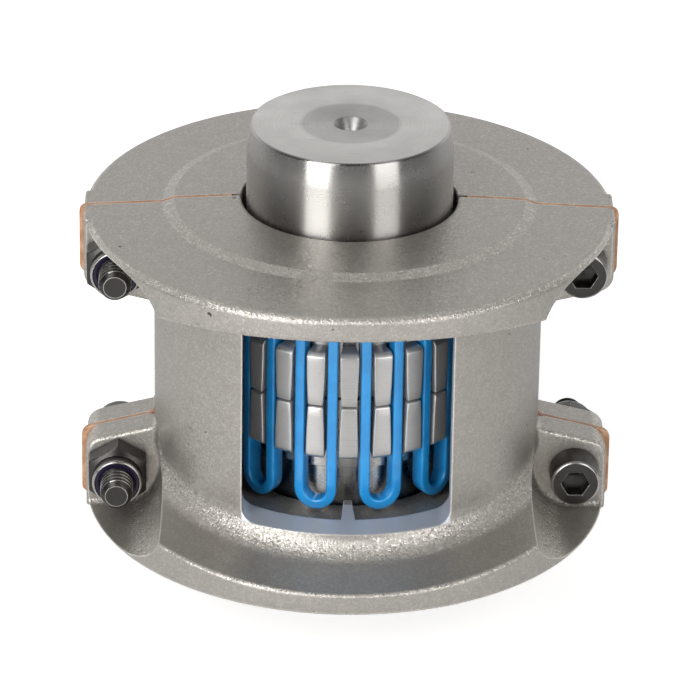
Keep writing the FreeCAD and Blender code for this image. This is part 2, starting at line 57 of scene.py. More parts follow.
Socket = bpy.types.NodeSocket
Colour = tuple[float, float, float, float]
Radius = float | Callable[[float], float]
Profile = Sequence[tuple[Radius, float]]
FaceTest = Callable[[Vector, Vector], bool]


class Slot(Enum):
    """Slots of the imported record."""

    HUB = "hub_steel"
    STRIP = "blue_strip"
    FASTENER = "dark_steel"
    INSERT = "insert_nylon"


class End(Enum):
    """End of the coupling that a piece belongs to."""

    UPPER = "upper"
    LOWER = "lower"


class Side(Enum):
    """Side of the coupling that a piece belongs to."""

    LEFT = "left"
    RIGHT = "right"


class Facing(Enum):
    """Way that a fastener's outer end points, with its turn about the shaft direction in degrees."""

    FRONT = 0.0
    BACK = 180.0


def grey(level: float) -> Colour:
    """Neutral colour of one level."""
    return (level, level, level, 1.0)


def bearing(azimuth: float, elevation: float) -> Vector:
    """Direction from the coupling to a place round it.

    Args:
        azimuth: angle from the front, positive to the right, in degrees.
        elevation: angle above the floor, in degrees.

    Returns:
        Direction of length one.
    """
    turn, rise = math.radians(azimuth), math.radians(elevation)
    return Vector((math.sin(turn) * math.cos(rise), -math.cos(turn) * math.cos(rise), math.sin(rise)))


# Shader graphs


class Graph:
    """Adds and links shader nodes in one node tree."""

    def __init__(self, tree: bpy.types.NodeTree) -> None:
        """Keeps the tree that nodes are added to.

        Args:
            tree: node tree of a material, a world or a group.
        """
        self.tree = tree

    def add(self, kind: str, **settings: object) -> bpy.types.Node:
        """Adds one node.

        Args:
            kind: Blender's name of the node type.
            settings: attributes set on the node.

        Returns:
            The new node.
        """
        node = self.tree.nodes.new(kind)
        for name, value in settings.items():
            setattr(node, name, value)
        return node

    def feed(self, target: Socket, value: object) -> None:
        """Links a socket to a target, or sets a plain value on it.

        Args:
            target: input socket.
            value: output socket, number or vector.
        """
        if isinstance(value, bpy.types.NodeSocket):
            self.tree.links.new(value, target)
        else:
            target.default_value = value

    def math(self, operation: str, *values: object, clamp: bool = False) -> Socket:
        """Adds a Math node.

        Args:
            operation: Blender's name of the operation.
            values: one to three sockets or numbers.
            clamp: whether the result is held between 0 and 1.

        Returns:
            The result socket.
        """
        node = self.add("ShaderNodeMath", operation=operation, use_clamp=clamp)
        for target, value in zip(node.inputs, values):
            self.feed(target, value)
        return node.outputs[0]

    def times(self, first: object, second: object) -> Socket:
        """Product of two values."""
        return self.math("MULTIPLY", first, second)

    def plus(self, first: object, second: object) -> Socket:
        """Sum of two values."""
        return self.math("ADD", first, second)

    def centred(self, value: object) -> Socket:
        """Value between 0 and 1 moved to lie about zero."""
        return self.math("SUBTRACT", value, 0.5)

    def weigh(self, base: object, *parts: tuple[object, float]) -> Socket:
        """Adds weighted masks to a value.

        Args:
            base: number or socket that the masks are added to.
            parts: masks, each with its weight.

        Returns:
            The sum.
        """
        total = base
        for mask, weight in parts:
            total = self.plus(total, self.times(mask, weight))
        return total

    def span(
        self, value: object, low: float, high: float, to_low: object = 0.0, to_high: object = 1.0,
    ) -> Socket:
        """Maps a value from one range to another with a smooth, held step.

        Args:
            value: socket that is mapped.
            low: value that gives to_low.
            high: value that gives to_high.
            to_low: result at low.
            to_high: result at high.

        Returns:
            The mapped socket.
        """
        node = self.add("ShaderNodeMapRange", interpolation_type="SMOOTHSTEP")
        entries = {"Value": value, "From Min": low, "From Max": high, "To Min": to_low, "To Max": to_high}
        for name, entry in entries.items():
            self.feed(node.inputs[name], entry)
        return node.outputs["Result"]

    def blend(self, factor: object, first: object, second: object) -> Socket:
        """Mixes two colours.

        Args:
            factor: share of the second colour.
            first: colour or socket.
            second: colour or socket.

        Returns:
            The mixed colour.
        """
        node = self.add("ShaderNodeMix", data_type="RGBA")
        for target, value in zip((node.inputs[0], node.inputs[6], node.inputs[7]), (factor, first, second)):
            self.feed(target, value)
        return node.outputs[2]

    def vector(self, operation: str, first: object, second: object = None) -> bpy.types.Node:
        """Adds a Vector Math node.

        Args:
            operation: Blender's name of the operation.
            first: socket or vector.
            second: socket or vector, or None where the operation takes one.

        Returns:
            The node.
        """
        node = self.add("ShaderNodeVectorMath", operation=operation)
        self.feed(node.inputs[0], first)
        if second is not None:
            self.feed(node.inputs[1], second)
        return node

    def shade(self, colour: object, factor: object) -> Socket:
        """Scales a colour's brightness by a factor.

        Args:
            colour: colour or socket.
            factor: number or socket that the colour is multiplied by.

        Returns:
            The scaled colour.
        """
        node = self.vector("SCALE", colour if isinstance(colour, bpy.types.NodeSocket) else colour[:3])
        self.feed(node.inputs["Scale"], factor)
        return node.outputs[0]

    def split(self, value: Socket) -> Sequence[Socket]:
        """Splits a vector into its three parts.

        Args:
            value: vector socket.

        Returns:
            The sockets of the parts.
        """
        node = self.add("ShaderNodeSeparateXYZ")
        self.feed(node.inputs[0], value)
        return node.outputs

    def place(self) -> Socket:
        """Position on the object, in the row frame, in metres."""
        return self.add("ShaderNodeTexCoord").outputs["Object"]

    def reach(self, place: Socket) -> Socket:
        """Distance of a position from the shaft axis, in metres."""
        flat = self.vector("MULTIPLY", place, (1.0, 1.0, 0.0))
        return self.vector("LENGTH", flat.outputs[0]).outputs["Value"]

    def noise(self, place: object, size: float, detail: float = 2.0, roughness: float = 0.5) -> Socket:
        """Adds a noise field with features of about one size.

        Args:
            place: position socket.
            size: feature size in millimetres.
            detail: number of finer layers.
            roughness: weight of the finer layers.

        Returns:
            Value socket, about 0 to 1.
        """
        node = self.add("ShaderNodeTexNoise")
        self.feed(node.inputs["Vector"], place)
        for name, value in (("Scale", 1 / (size * MM)), ("Detail", detail), ("Roughness", roughness)):
            node.inputs[name].default_value = value
        return node.outputs[0]

    def line_noise(self, position: object, scale: float, detail: float) -> Socket:
        """Adds a noise that changes along one line.

        Args:
            position: place along the line.
            scale: features for each unit of the line.
            detail: number of finer layers.

        Returns:
            Value socket, about 0 to 1.
        """
        node = self.add("ShaderNodeTexNoise", noise_dimensions="1D")
        for name, value in (("W", position), ("Scale", scale), ("Detail", detail)):
            self.feed(node.inputs[name], value)
        return node.outputs[0]

    def bump(self, height: object, distance: float, strength: float = 1.0, normal: object = None) -> Socket:
        """Turns a height into a normal.

        Args:
            height: height socket, 0 to 1.
            distance: real height of the relief in millimetres.
            strength: share of the relief.
            normal: normal that the relief is added to, or None.

        Returns:
            Normal socket.
        """
        node = self.add("ShaderNodeBump")
        node.inputs["Distance"].default_value = distance * MM
        node.inputs["Strength"].default_value = strength
        self.feed(node.inputs["Height"], height)
        if normal is not None:
            self.feed(node.inputs["Normal"], normal)
        return node.outputs[0]

    def lean(self, normal: Socket, tilt: Socket) -> Socket:
        """Leans a normal by a small vector and gives it length one."""
        return self.vector("NORMALIZE", self.vector("ADD", normal, tilt).outputs[0]).outputs[0]


class Effects:
    """Shader node groups that several finishes share, each built once."""

    def __init__(self) -> None:
        """Starts with no group built."""
        self.built: dict[str, bpy.types.NodeTree] = {}

    def _start(
        self, name: str, inputs: dict[str, float], outputs: Sequence[str],
    ) -> tuple[Graph, bpy.types.Node, bpy.types.Node]:
        """Makes an empty group with number inputs and value outputs.

        Args:
            name: name of the group.
            inputs: names of the inputs with their first values.
            outputs: names of the outputs.

        Returns:
            Graph of the group, its input node and its output node.
        """
        tree = bpy.data.node_groups.new(name, "ShaderNodeTree")
        for label, value in inputs.items():
            socket = tree.interface.new_socket(label, in_out="INPUT", socket_type="NodeSocketFloat")
            socket.default_value = value
        for label in outputs:
            kind = "NodeSocketVector" if label in ("Normal", "Tilt") else "NodeSocketFloat"
            tree.interface.new_socket(label, in_out="OUTPUT", socket_type=kind)
        graph = Graph(tree)
        self.built[name] = tree
        return graph, graph.add("NodeGroupInput"), graph.add("NodeGroupOutput")

    def use(self, graph: Graph, name: str, **values: object) -> bpy.types.Node:
        """Places a group in a material's graph, with its own values.

        Args:
            graph: graph of the material.
            name: name of the group, which is also the name of the method that builds it.
            values: input values or sockets, by input name with _ for spaces.

        Returns:
            The group node.
        """
        if name not in self.built:
            getattr(self, name)()
        node = graph.add("ShaderNodeGroup")
        node.node_tree = self.built[name]
        for label, value in values.items():
            graph.feed(node.inputs[label.replace("_", " ").capitalize()], value)
        return node

    def cast_skin(self) -> None:
        """Blasted casting: fine grain, soft waves, leaning flakes, a mask of painted glints that is stronger on
        rounded forms, and a few pits.
        """
        inputs = {"Grain": 1.0, "Glints": 1.0, "Pits": 1.0}
        names = ("Tone", "Height", "Glint", "Pit", "Tilt", "Rounding")
        graph, given, result = self._start("cast_skin", inputs, names)
        place = graph.place()
        flake_size, grain_size, mottle_size, pit_spacing, pit_size, wave_size = 0.3, 0.42, 1.9, 2.6, 0.7, 6.0
        slanted, shining, pitted, pit_middle = (0.42, 0.9), (0.62, 0.98), (0.79, 0.81), (0.4, 0.6)

        # A face counts as rounded where it is neither level nor upright.
        up = graph.math("ABSOLUTE", graph.split(graph.add("ShaderNodeNewGeometry").outputs["Normal"])[2])
        level = graph.math("SQRT", graph.math("SUBTRACT", 1.0, graph.times(up, up), clamp=True))
        slant = graph.times(graph.times(up, level), 2.0)
        rounding = graph.span(slant, *slanted)

        # Each flake of the surface leans its own way, and a few of them get a painted glint.
        cells = graph.add("ShaderNodeTexVoronoi", feature="F1")
        graph.feed(cells.inputs["Vector"], place)
        cells.inputs["Scale"].default_value = 1 / (flake_size * MM)
        spread = graph.add("ShaderNodeSeparateColor")
        graph.feed(spread.inputs[0], cells.outputs["Color"])
        way = graph.vector("SUBTRACT", cells.outputs["Color"], (0.5, 0.5, 0.5)).outputs[0]
        lean = graph.times(graph.weigh(0.35, (rounding, 0.6)), graph.math("POWER", spread.outputs[1], 3.0))
        tilt = graph.shade(way, graph.times(lean, given.outputs["Glints"]))
        glint = graph.times(graph.span(spread.outputs[0], *shining), graph.weigh(0.3, (rounding, 0.7)))
        glint = graph.times(glint, given.outputs["Glints"])

        grain = graph.noise(place, grain_size, detail=3.0, roughness=0.6)
        waves = graph.noise(place, wave_size)
        mottle = graph.noise(place, mottle_size, detail=3.0, roughness=0.62)
        pit_places = graph.span(graph.noise(place, pit_spacing, detail=1.0), *pitted)
        pit = graph.times(pit_places, graph.span(graph.noise(place, pit_size), *pit_middle))
        pit = graph.times(pit, given.outputs["Pits"])
        tone = graph.weigh(0.0, (graph.centred(mottle), 0.6), (graph.centred(grain), 0.9))
        height = graph.times(graph.times(grain, given.outputs["Grain"]), graph.plus(rounding, 0.7))
        height = graph.weigh(height, (waves, 0.9), (pit, -2.0))
        for label, value in zip(names, (tone, height, glint, pit, tilt, rounding)):
            graph.feed(result.inputs[label], value)

    def turning_marks(self) -> None:
        """Fine rings that a cutting tool leaves about the shaft axis."""
        inputs = {"Fineness": 0.12, "Wander": 0.5}
        graph, given, result = self._start("turning_marks", inputs, ("Tone", "Height"))
        place = graph.place()
        band_unit, bands_per_unit, wander_size = 1.4, 5.0, 5.0
        travel = graph.plus(graph.reach(place), graph.split(place)[2])
        density = graph.math("DIVIDE", 1 / MM, given.outputs["Fineness"])
        rings = graph.line_noise(graph.times(travel, density), scale=1.0, detail=2.0)
        bands = graph.line_noise(graph.times(travel, 1 / (band_unit * MM)), bands_per_unit, detail=1.0)
        drift = graph.noise(place, wander_size, detail=3.0)
        wander = graph.times(graph.centred(drift), given.outputs["Wander"])
        tone = graph.weigh(wander, (graph.centred(rings), 0.5), (graph.centred(bands), 0.5))
        graph.feed(result.inputs["Tone"], tone)
        graph.feed(result.inputs["Height"], rings)

    def handling(self) -> None:
        """Thin scratches and smudges from handling."""
        graph, given, result = self._start("handling", {"Amount": 1.0}, ("Scratch", "Smudge"))
        place = graph.place()
        scratch: object = 0.0
        scratch_size, smudge_size, scratched = 9.0, 4.0, (0.70, 0.735)
        for turn, stretch in ((0.6, 22.0), (2.2, 30.0)):
            mapping = graph.add("ShaderNodeMapping")
            graph.feed(mapping.inputs["Vector"], place)
            mapping.inputs["Rotation"].default_value = (turn, turn * 0.7, turn * 1.3)
            mapping.inputs["Scale"].default_value = (1.0, stretch, stretch)
            lines = graph.span(graph.noise(mapping.outputs[0], scratch_size, detail=1.0), *scratched)
            scratch = graph.math("MAXIMUM", scratch, lines)
        smudge = graph.noise(place, smudge_size, detail=4.0, roughness=0.6)
        graph.feed(result.inputs["Scratch"], graph.times(scratch, given.outputs["Amount"]))
        graph.feed(result.inputs["Smudge"], graph.times(smudge, given.outputs["Amount"]))

    def soft_edges(self) -> None:
        """Normal that rounds sharp edges, a mask of the outer edges and a mask of the inner corners."""
        graph, given, result = self._start("soft_edges", {"Width": 0.2}, ("Normal", "Edge", "Corner"))
        width = given.outputs["Width"]
        samples, turned, free, closed = 6, (0.995, 0.86), (0.75, 0.95), (0.85, 0.35)
        bevel = graph.add("ShaderNodeBevel", samples=samples)
        graph.feed(bevel.inputs["Radius"], graph.times(width, MM))
        normal = graph.add("ShaderNodeNewGeometry").outputs["Normal"]
        facing = graph.vector("DOT_PRODUCT", bevel.outputs[0], normal).outputs["Value"]
        near = graph.add("ShaderNodeAmbientOcclusion", samples=samples, only_local=False)
        graph.feed(near.inputs["Distance"], graph.times(width, 2.0 * MM))
        openness = near.outputs["AO"]
        edge = graph.times(graph.span(facing, *turned), graph.span(openness, *free))
        graph.feed(result.inputs["Normal"], bevel.outputs[0])
        graph.feed(result.inputs["Edge"], edge)
        graph.feed(result.inputs["Corner"], graph.span(openness, *closed))

    def within(self) -> None:
        """Mask of what lies in a box of the row frame, given in millimetres."""
        names = ("Low x", "High x", "Low y", "High y", "Low z", "High z")
        graph, given, result = self._start("within", {name: 0.0 for name in names}, ("Mask",))
        parts = graph.split(graph.place())
        mask: object = 1.0
        for axis in range(3):
            here = graph.math("DIVIDE", parts[axis], MM)
            above = graph.math("GREATER_THAN", here, given.outputs[names[2 * axis]])
            below = graph.math("LESS_THAN", here, given.outputs[names[2 * axis + 1]])
            mask = graph.times(mask, graph.times(above, below))
        graph.feed(result.inputs["Mask"], mask)


EFFECTS = Effects()


# Finishes


def new_finish(name: str, **sockets: object) -> tuple[bpy.types.Material, Graph, bpy.types.Node]:
    """Makes a material with one Principled shader.

    Args:
        name: name of the material.
        sockets: constant values of the shader's inputs, by input name with _ for spaces.

    Returns:
        The material, its graph and the shader node.
    """
    material = bpy.data.materials.new(name)
    material.use_nodes = True
    shader = material.node_tree.nodes["Principled BSDF"]
    for label, value in sockets.items():
        shader.inputs[label.replace("_", " ").title()].default_value = value
    return material, Graph(material.node_tree), shader


@dataclass(frozen=True)
class CastAluminium:
    """Blasted aluminium casting with a milled window."""

    window: tuple[float, float, float, float, float, float]
    colour: Colour = (0.36, 0.34, 0.312, 1.0)
    pit_colour: Colour = (0.06, 0.055, 0.05, 1.0)
    milled_colour_with_blue_reflection: Colour = (0.64, 0.655, 0.685, 1.0)
    metallic: float = 0.68
    roughness: float = 0.37
    milled_roughness: float = 0.5
    mottle_tone: float = 0.42
    # The next four tones paint light and shade into the colour: glints, rounded forms and outer edges lighter,
    # inner corners darker.
    painted_glint_tone: float = 0.75
    painted_rounding_highlight: float = 0.4
    painted_edge_highlight: float = 1.2
    painted_corner_shade: float = 0.45
    glint_polish: float = 0.22
    mottle_roughness: float = 0.12
    edge_width: float = 0.55
    relief: float = 0.085
    milled_relief: float = 0.06

    def make(self) -> bpy.types.Material:
        """Builds the material.

        Returns:
            The material.
        """
        material, graph, shader = new_finish("cast_aluminium_finish", Metallic=self.metallic)
        skin = EFFECTS.use(graph, "cast_skin").outputs
        edges = EFFECTS.use(graph, "soft_edges", width=self.edge_width).outputs
        labels = ("low_x", "high_x", "low_y", "high_y", "low_z", "high_z")
        milled = EFFECTS.use(graph, "within", **dict(zip(labels, self.window))).outputs["Mask"]
        # Painted highlights: glints, rounded forms and outer edges make the casting's colour lighter.
        tone = graph.weigh(
            1.0, (skin["Tone"], self.mottle_tone), (skin["Glint"], self.painted_glint_tone),
            (skin["Rounding"], self.painted_rounding_highlight), (edges["Edge"], self.painted_edge_highlight))
        # Inner corners are painted darker, as painted shade.
        tone = graph.times(tone, graph.span(edges["Corner"], 0.0, 1.0, 1.0, self.painted_corner_shade))
        cast = graph.blend(skin["Pit"], graph.shade(self.colour, tone), self.pit_colour)
        # The milled window is lighter metal, and its faint blue tint is a painted reflection of the blue strip.
        graph.feed(shader.inputs["Base Color"], graph.blend(milled, cast, self.milled_colour_with_blue_reflection))
        rough = graph.weigh(
            self.roughness, (skin["Glint"], -self.glint_polish), (skin["Tone"], self.mottle_roughness))
        graph.feed(shader.inputs["Roughness"], graph.span(milled, 0.0, 1.0, rough, self.milled_roughness))
        height = graph.times(skin["Height"], graph.span(milled, 0.0, 1.0, 1.0, self.milled_relief))
        normal = graph.bump(height, self.relief, 1.0, edges["Normal"])
        tilt = graph.shade(skin["Tilt"], graph.span(milled, 0.0, 1.0, 1.0, 0.0))
        graph.feed(shader.inputs["Normal"], graph.lean(normal, tilt))
        return material


@dataclass(frozen=True)
class MachinedSteel:
    """Turned or cut steel: fine tool marks about the shaft axis, scratches and smudges.

    A face may have a duller middle, inside inner_radius, and a piece may have rounded edges, of edge_width,
    with a painted highlight along them.
    """

    name: str
    colour: Colour
    roughness: float
    metallic: float
    anisotropy: float
    mark_size: float
    wander: float
    mark_tone: float
    scratch_tone: float
    smudge_roughness: float
    mark_height: float
    mark_strength: float = 0.5
    across_marks: float = 0.25
    inner_radius: float = 0.0
    inner_fade: float = 0.6
    inner_tone: float = 0.22
    inner_roughness: float = 0.06
    edge_width: float = 0.0
    painted_edge_highlight: float = 0.55

    def make(self) -> bpy.types.Material:
        """Builds the material.

        Returns:
            The material.
        """
        material, graph, shader = new_finish(
            self.name, Metallic=self.metallic, Anisotropic=self.anisotropy,
            Anisotropic_Rotation=self.across_marks)
        marks = EFFECTS.use(graph, "turning_marks", fineness=self.mark_size, wander=self.wander).outputs
        wear = EFFECTS.use(graph, "handling").outputs
        tangent = graph.add("ShaderNodeTangent", direction_type="RADIAL", axis="Z")
        graph.feed(shader.inputs["Tangent"], tangent.outputs[0])
        tones = [(marks["Tone"], self.mark_tone), (wear["Scratch"], -self.scratch_tone)]
        roughs = [(graph.centred(wear["Smudge"]), self.smudge_roughness)]
        normal = None
        if self.inner_radius:
            outside, inside = self.inner_radius + self.inner_fade, self.inner_radius - self.inner_fade
            inner = graph.span(graph.reach(graph.place()), outside * MM, inside * MM)
            tones.append((inner, -self.inner_tone))
            roughs.append((inner, self.inner_roughness))
        if self.edge_width:
            edges = EFFECTS.use(graph, "soft_edges", width=self.edge_width).outputs
            # The rounded edges get a painted highlight in the colour.
            tones.append((edges["Edge"], self.painted_edge_highlight))
            normal = edges["Normal"]
        graph.feed(shader.inputs["Base Color"], graph.shade(self.colour, graph.weigh(1.0, *tones)))
        graph.feed(shader.inputs["Roughness"], graph.weigh(self.roughness, *roughs))
        relief = graph.bump(marks["Height"], self.mark_height, self.mark_strength, normal)
        graph.feed(shader.inputs["Normal"], relief)
        return material


TURNED_SIDE = MachinedSteel(
    "turned_steel_finish", (0.43, 0.42, 0.402, 1.0), roughness=0.28, metallic=1.0, anisotropy=1.0,
    mark_size=0.16, wander=0.35, mark_tone=0.22, scratch_tone=0.18, smudge_roughness=0.10, mark_height=0.004)
FACED_END = MachinedSteel(
    "faced_steel_finish", (0.60, 0.59, 0.57, 1.0), roughness=0.4, metallic=1.0, anisotropy=0.25,
    mark_size=0.22, wander=0.9, mark_tone=0.3, scratch_tone=0.12, smudge_roughness=0.12, mark_height=0.006,
    inner_radius=9.5)
CUT_TEETH = MachinedSteel(
    "tooth_steel_finish", (0.45, 0.44, 0.43, 1.0), roughness=0.35, metallic=0.5, anisotropy=0.85,
    mark_size=0.2, wander=0.6, mark_tone=0.14, scratch_tone=0.12, smudge_roughness=0.2, mark_height=0.004,
    edge_width=0.22)


@dataclass(frozen=True)
class StripPaint:
    """Blue enamel on the spring strip, with a painted highlight on its edges."""

    colour: Colour = (0.010, 0.255, 0.60, 1.0)
    deep: Colour = (0.008, 0.22, 0.54, 1.0)
    # Lighter blue of the painted edge highlight.
    light: Colour = (0.06, 0.38, 0.78, 1.0)
    roughness: float = 0.4
    coat: float = 0.8
    coat_roughness: float = 0.09
    edge_width: float = 0.3
    painted_strip_edge_highlight: float = 0.5
    cloud_size: float = 3.2
    cloud_range: tuple[float, float] = (0.35, 0.65)
    ripple_size: float = 0.9
    ripple_height: float = 0.02
    ripple_strength: float = 0.5

    def make(self) -> bpy.types.Material:
        """Builds the material.

        Returns:
            The material.
        """
        material, graph, shader = new_finish(
            "strip_paint_finish", Roughness=self.roughness, Coat_Weight=self.coat,
            Coat_Roughness=self.coat_roughness)
        place = graph.place()
        edges = EFFECTS.use(graph, "soft_edges", width=self.edge_width).outputs
        cloud = graph.span(graph.noise(place, self.cloud_size, detail=3.0), *self.cloud_range)
        colour = graph.blend(cloud, self.deep, self.colour)
        # The edges blend towards the lighter blue as a painted highlight.
        colour = graph.blend(graph.times(edges["Edge"], self.painted_strip_edge_highlight), colour, self.light)
        graph.feed(shader.inputs["Base Color"], colour)
        ripple = graph.noise(place, self.ripple_size)
        graph.feed(shader.inputs["Normal"], graph.bump(ripple, self.ripple_height, self.ripple_strength))
        return material


@dataclass(frozen=True)
class GasketFibre:
    """Copper-brown sheet gasket with a fibrous cut edge."""

    colour: Colour = (0.40, 0.20, 0.105, 1.0)
    pale: Colour = (0.56, 0.34, 0.21, 1.0)
    dark: Colour = (0.25, 0.11, 0.05, 1.0)
    roughness: float = 0.5
    fibre_size: float = 0.5
    fibre_range: tuple[float, float] = (0.56, 0.75)
    fibre_height: float = 0.06
    fibre_strength: float = 0.7
    patch_size: float = 3.0
    patch_range: tuple[float, float] = (0.4, 0.68)

    def make(self) -> bpy.types.Material:
        """Builds the material.

        Returns:
            The material.
        """
        material, graph, shader = new_finish("gasket_fibre_finish", Roughness=self.roughness)
        place = graph.place()
        fibres = graph.noise(place, self.fibre_size, detail=4.0, roughness=0.7)
        patches = graph.span(graph.noise(place, self.patch_size, detail=3.0), *self.patch_range)
        colour = graph.blend(patches, self.colour, self.pale)
        colour = graph.blend(graph.span(fibres, *self.fibre_range), colour, self.dark)
        graph.feed(shader.inputs["Base Color"], colour)
        graph.feed(shader.inputs["Normal"], graph.bump(fibres, self.fibre_height, self.fibre_strength))
        return material


@dataclass(frozen=True)
class RubbedSteel:
    """Steel of small pieces, with smudges and with outer edges that are rubbed bare."""

    name: str
    colour: Colour
    roughness: float
    metallic: float = 0.9
    bare: Colour = (0.66, 0.64, 0.60, 1.0)
    bare_edges: float = 0.85
    edge_width: float = 0.14
    smudge_tone: float = 0.5
    smudge_roughness: float = 0.22
    grain_size: float = 0.35
    grain_height: float = 0.012
    grain_strength: float = 0.6
    rubbed_range: tuple[float, float] = (0.3, 0.6)
    least_rubbed: float = 0.5

    def make(self) -> bpy.types.Material:
        """Builds the material.

        Returns:
            The material.
        """
        material, graph, shader = new_finish(self.name, Metallic=self.metallic)
        smudge = EFFECTS.use(graph, "handling").outputs["Smudge"]
        edges = EFFECTS.use(graph, "soft_edges", width=self.edge_width).outputs
        patchy = graph.span(smudge, *self.rubbed_range, self.least_rubbed, 1.0)
        rubbed = graph.times(edges["Edge"], patchy)
        colour = graph.blend(graph.times(rubbed, self.bare_edges), self.colour, self.bare)
        tone = graph.weigh(1.0 - self.smudge_tone / 2, (smudge, self.smudge_tone))
        graph.feed(shader.inputs["Base Color"], graph.shade(colour, tone))
        rough = graph.weigh(self.roughness, (graph.centred(smudge), self.smudge_roughness))
        graph.feed(shader.inputs["Roughness"], rough)
        grain = graph.noise(graph.place(), self.grain_size)
        relief = graph.bump(grain, self.grain_height, self.grain_strength, edges["Normal"])
        graph.feed(shader.inputs["Normal"], relief)
        return material


OILED_BLACK = RubbedSteel("black_steel_finish", (0.06, 0.057, 0.053, 1.0), 0.33)
RUBBED_BARE = RubbedSteel("worn_steel_finish", (0.42, 0.41, 0.39, 1.0), 0.28)
# Lighter steel for the teeth's rounded edges and chamfers: a painted edge highlight.
TOOTH_EDGE_HIGHLIGHT = RubbedSteel("tooth_edge_highlight_finish", (0.72, 0.71, 0.69, 1.0), 0.38)


@dataclass(frozen=True)
class Moulded:
    """Moulded nylon or rubber with a faintly cloudy surface."""

    name: str
    colour: Colour
    roughness: float
    cloud_size: float
    cloud_tone: float
    relief_strength: float
    relief: float = 0.02

    def make(self) -> bpy.types.Material:
        """Builds the material.

        Returns:
            The material.
        """
        material, graph, shader = new_finish(self.name, Roughness=self.roughness)
        cloud = graph.noise(graph.place(), self.cloud_size, detail=3.0)
        tone = graph.weigh(1.0 - self.cloud_tone / 2, (cloud, self.cloud_tone))
        graph.feed(shader.inputs["Base Color"], graph.shade(self.colour, tone))
        graph.feed(shader.inputs["Normal"], graph.bump(cloud, self.relief, self.relief_strength))
        return material


INSERT_NYLON = Moulded("insert_nylon_finish", (0.010, 0.006, 0.024, 1.0), 0.38, 0.8, 0.6, 0.5)
SEAL_RUBBER = Moulded("seal_rubber_finish", (0.018, 0.018, 0.019, 1.0), 0.6, 0.6, 0.8, 0.6)


# Meshes


@dataclass
class Skin:
    """Points and faces gathered for one mesh, in millimetres."""

    points: list[Vector] = field(default_factory=list)
    faces: list[tuple[int, ...]] = field(default_factory=list)

    def loft(self, rings: Sequence[Sequence[Vector]], caps: bool = False) -> "Skin":
        """Joins closed rings of points in order.

        Args:
            rings: rings with the same number of points each.
            caps: whether the first and the last ring are filled.

        Returns:
            This skin.
        """
        first = len(self.points)
        count = len(rings[0])
        for ring in rings:
            self.points.extend(ring)
        for row in range(len(rings) - 1):
            for i in range(count):
                a = first + row * count + i
                b = first + row * count + (i + 1) % count
                self.faces.append((a, b, b + count, a + count))
        if caps:
            last = first + (len(rings) - 1) * count
            self.faces.append(tuple(first + i for i in reversed(range(count))))
            self.faces.append(tuple(last + i for i in range(count)))
        return self

    def turn(self, profile: Profile, segments: int) -> "Skin":
        """Turns a profile about Z.

        Args:
            profile: (radius, z) of each ring, where the radius may depend on the angle.
            segments: number of points round each ring.

        Returns:
            This skin.
        """
        rings = []
        for radius, z in profile:
            ring = []
            for i in range(segments):
                angle = 2 * math.pi * i / segments
                reach = radius(angle) if callable(radius) else radius
                ring.append(Vector((reach * math.cos(angle), reach * math.sin(angle), z)))
            rings.append(ring)
        return self.loft(rings)

    def add(self, other: "Skin", place: Matrix = Matrix.Identity(4)) -> None:
        """Adds another skin's points and faces to this one.

        Args:
            other: skin that is added.
            place: matrix that moves its points.
        """
        first = len(self.points)
        self.points.extend(place @ point for point in other.points)
        self.faces.extend(tuple(first + i for i in face) for face in other.faces)

    def piece(
        self, name: str, slot: Slot, materials: Sequence[bpy.types.Material], replaced: str,
        place: Matrix = Matrix.Identity(4), sharp: float = 40.0, second: FaceTest | None = None,
    ) -> bpy.types.Object:
        """Makes a visible piece that rides on the coupling's body and stands for a CAD node.

        Args:
            name: name of the piece.
            slot: not used.
            materials: materials of the piece.
            replaced: CAD node that the piece stands for.
            place: matrix from the drawn place to the place in the coupling, in millimetres.
            sharp: angle between faces, in degrees, from which an edge stays sharp.
            second: tells from a face's centre and normal, as drawn, whether it has the second material.

        Returns:
            The new object.
        """
        mesh = bpy.data.meshes.new(name)
        mesh.from_pydata([tuple((place @ point) * MM) for point in self.points], [], self.faces)
        shape = bmesh.new()
        shape.from_mesh(mesh)
        bmesh.ops.remove_doubles(shape, verts=shape.verts, dist=WELD_DISTANCE)
        bmesh.ops.recalc_face_normals(shape, faces=shape.faces)
        shape.to_mesh(mesh)
        shape.free()
        mesh.polygons.foreach_set("use_smooth", [True] * len(mesh.polygons))
        mesh.set_sharp_from_angle(angle=math.radians(sharp))
        for material in materials:
            mesh.materials.append(material)
        if second is not None:
            drawn = place.inverted()
            turned = drawn.to_3x3()
            for face in mesh.polygons:
                face.material_index = int(second(drawn @ (face.center / MM), turned @ face.normal))
        piece = bpy.data.objects.new(name, mesh)
        bpy.context.scene.collection.objects.link(piece)
        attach(piece, BODY)
        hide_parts(replaced)
        return piece


def hexagon(flats: float, turn: float = 0.0, corner: float = 0.0) -> Callable[[float], float]:
    """Radius of a hexagon's side at an angle.

    Args:
        flats: distance across the flats.
        turn: angle of one corner, in degrees.
        corner: radius of the corners' rounding.

    Returns:
        Function from an angle in radians to a radius.
    """
    limit = flats / math.sqrt(3) - corner * (2 / math.sqrt(3) - 1)

    def radius(angle: float) -> float:
        """Radius at an angle."""
        side = (angle - math.radians(turn)) % (math.pi / 3) - math.pi / 6
        return min(flats / 2 / math.cos(side), limit)

    return radius


def box_mm(node: str) -> tuple[Vector, Vector]:
    """Lowest and highest corner of a CAD node, in millimetres."""
    low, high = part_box(node)
    return low / MM, high / MM


def dress_node(node: str, material: bpy.types.Material) -> None:
    """Gives a CAD node a finish.

    Args:
        node: name of the node.
        material: finish of the whole node.
    """
    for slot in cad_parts[node].material_slots:
        slot.link = "OBJECT"
        slot.material = material
    LOG.info("finish on %s", node)


# Hubs


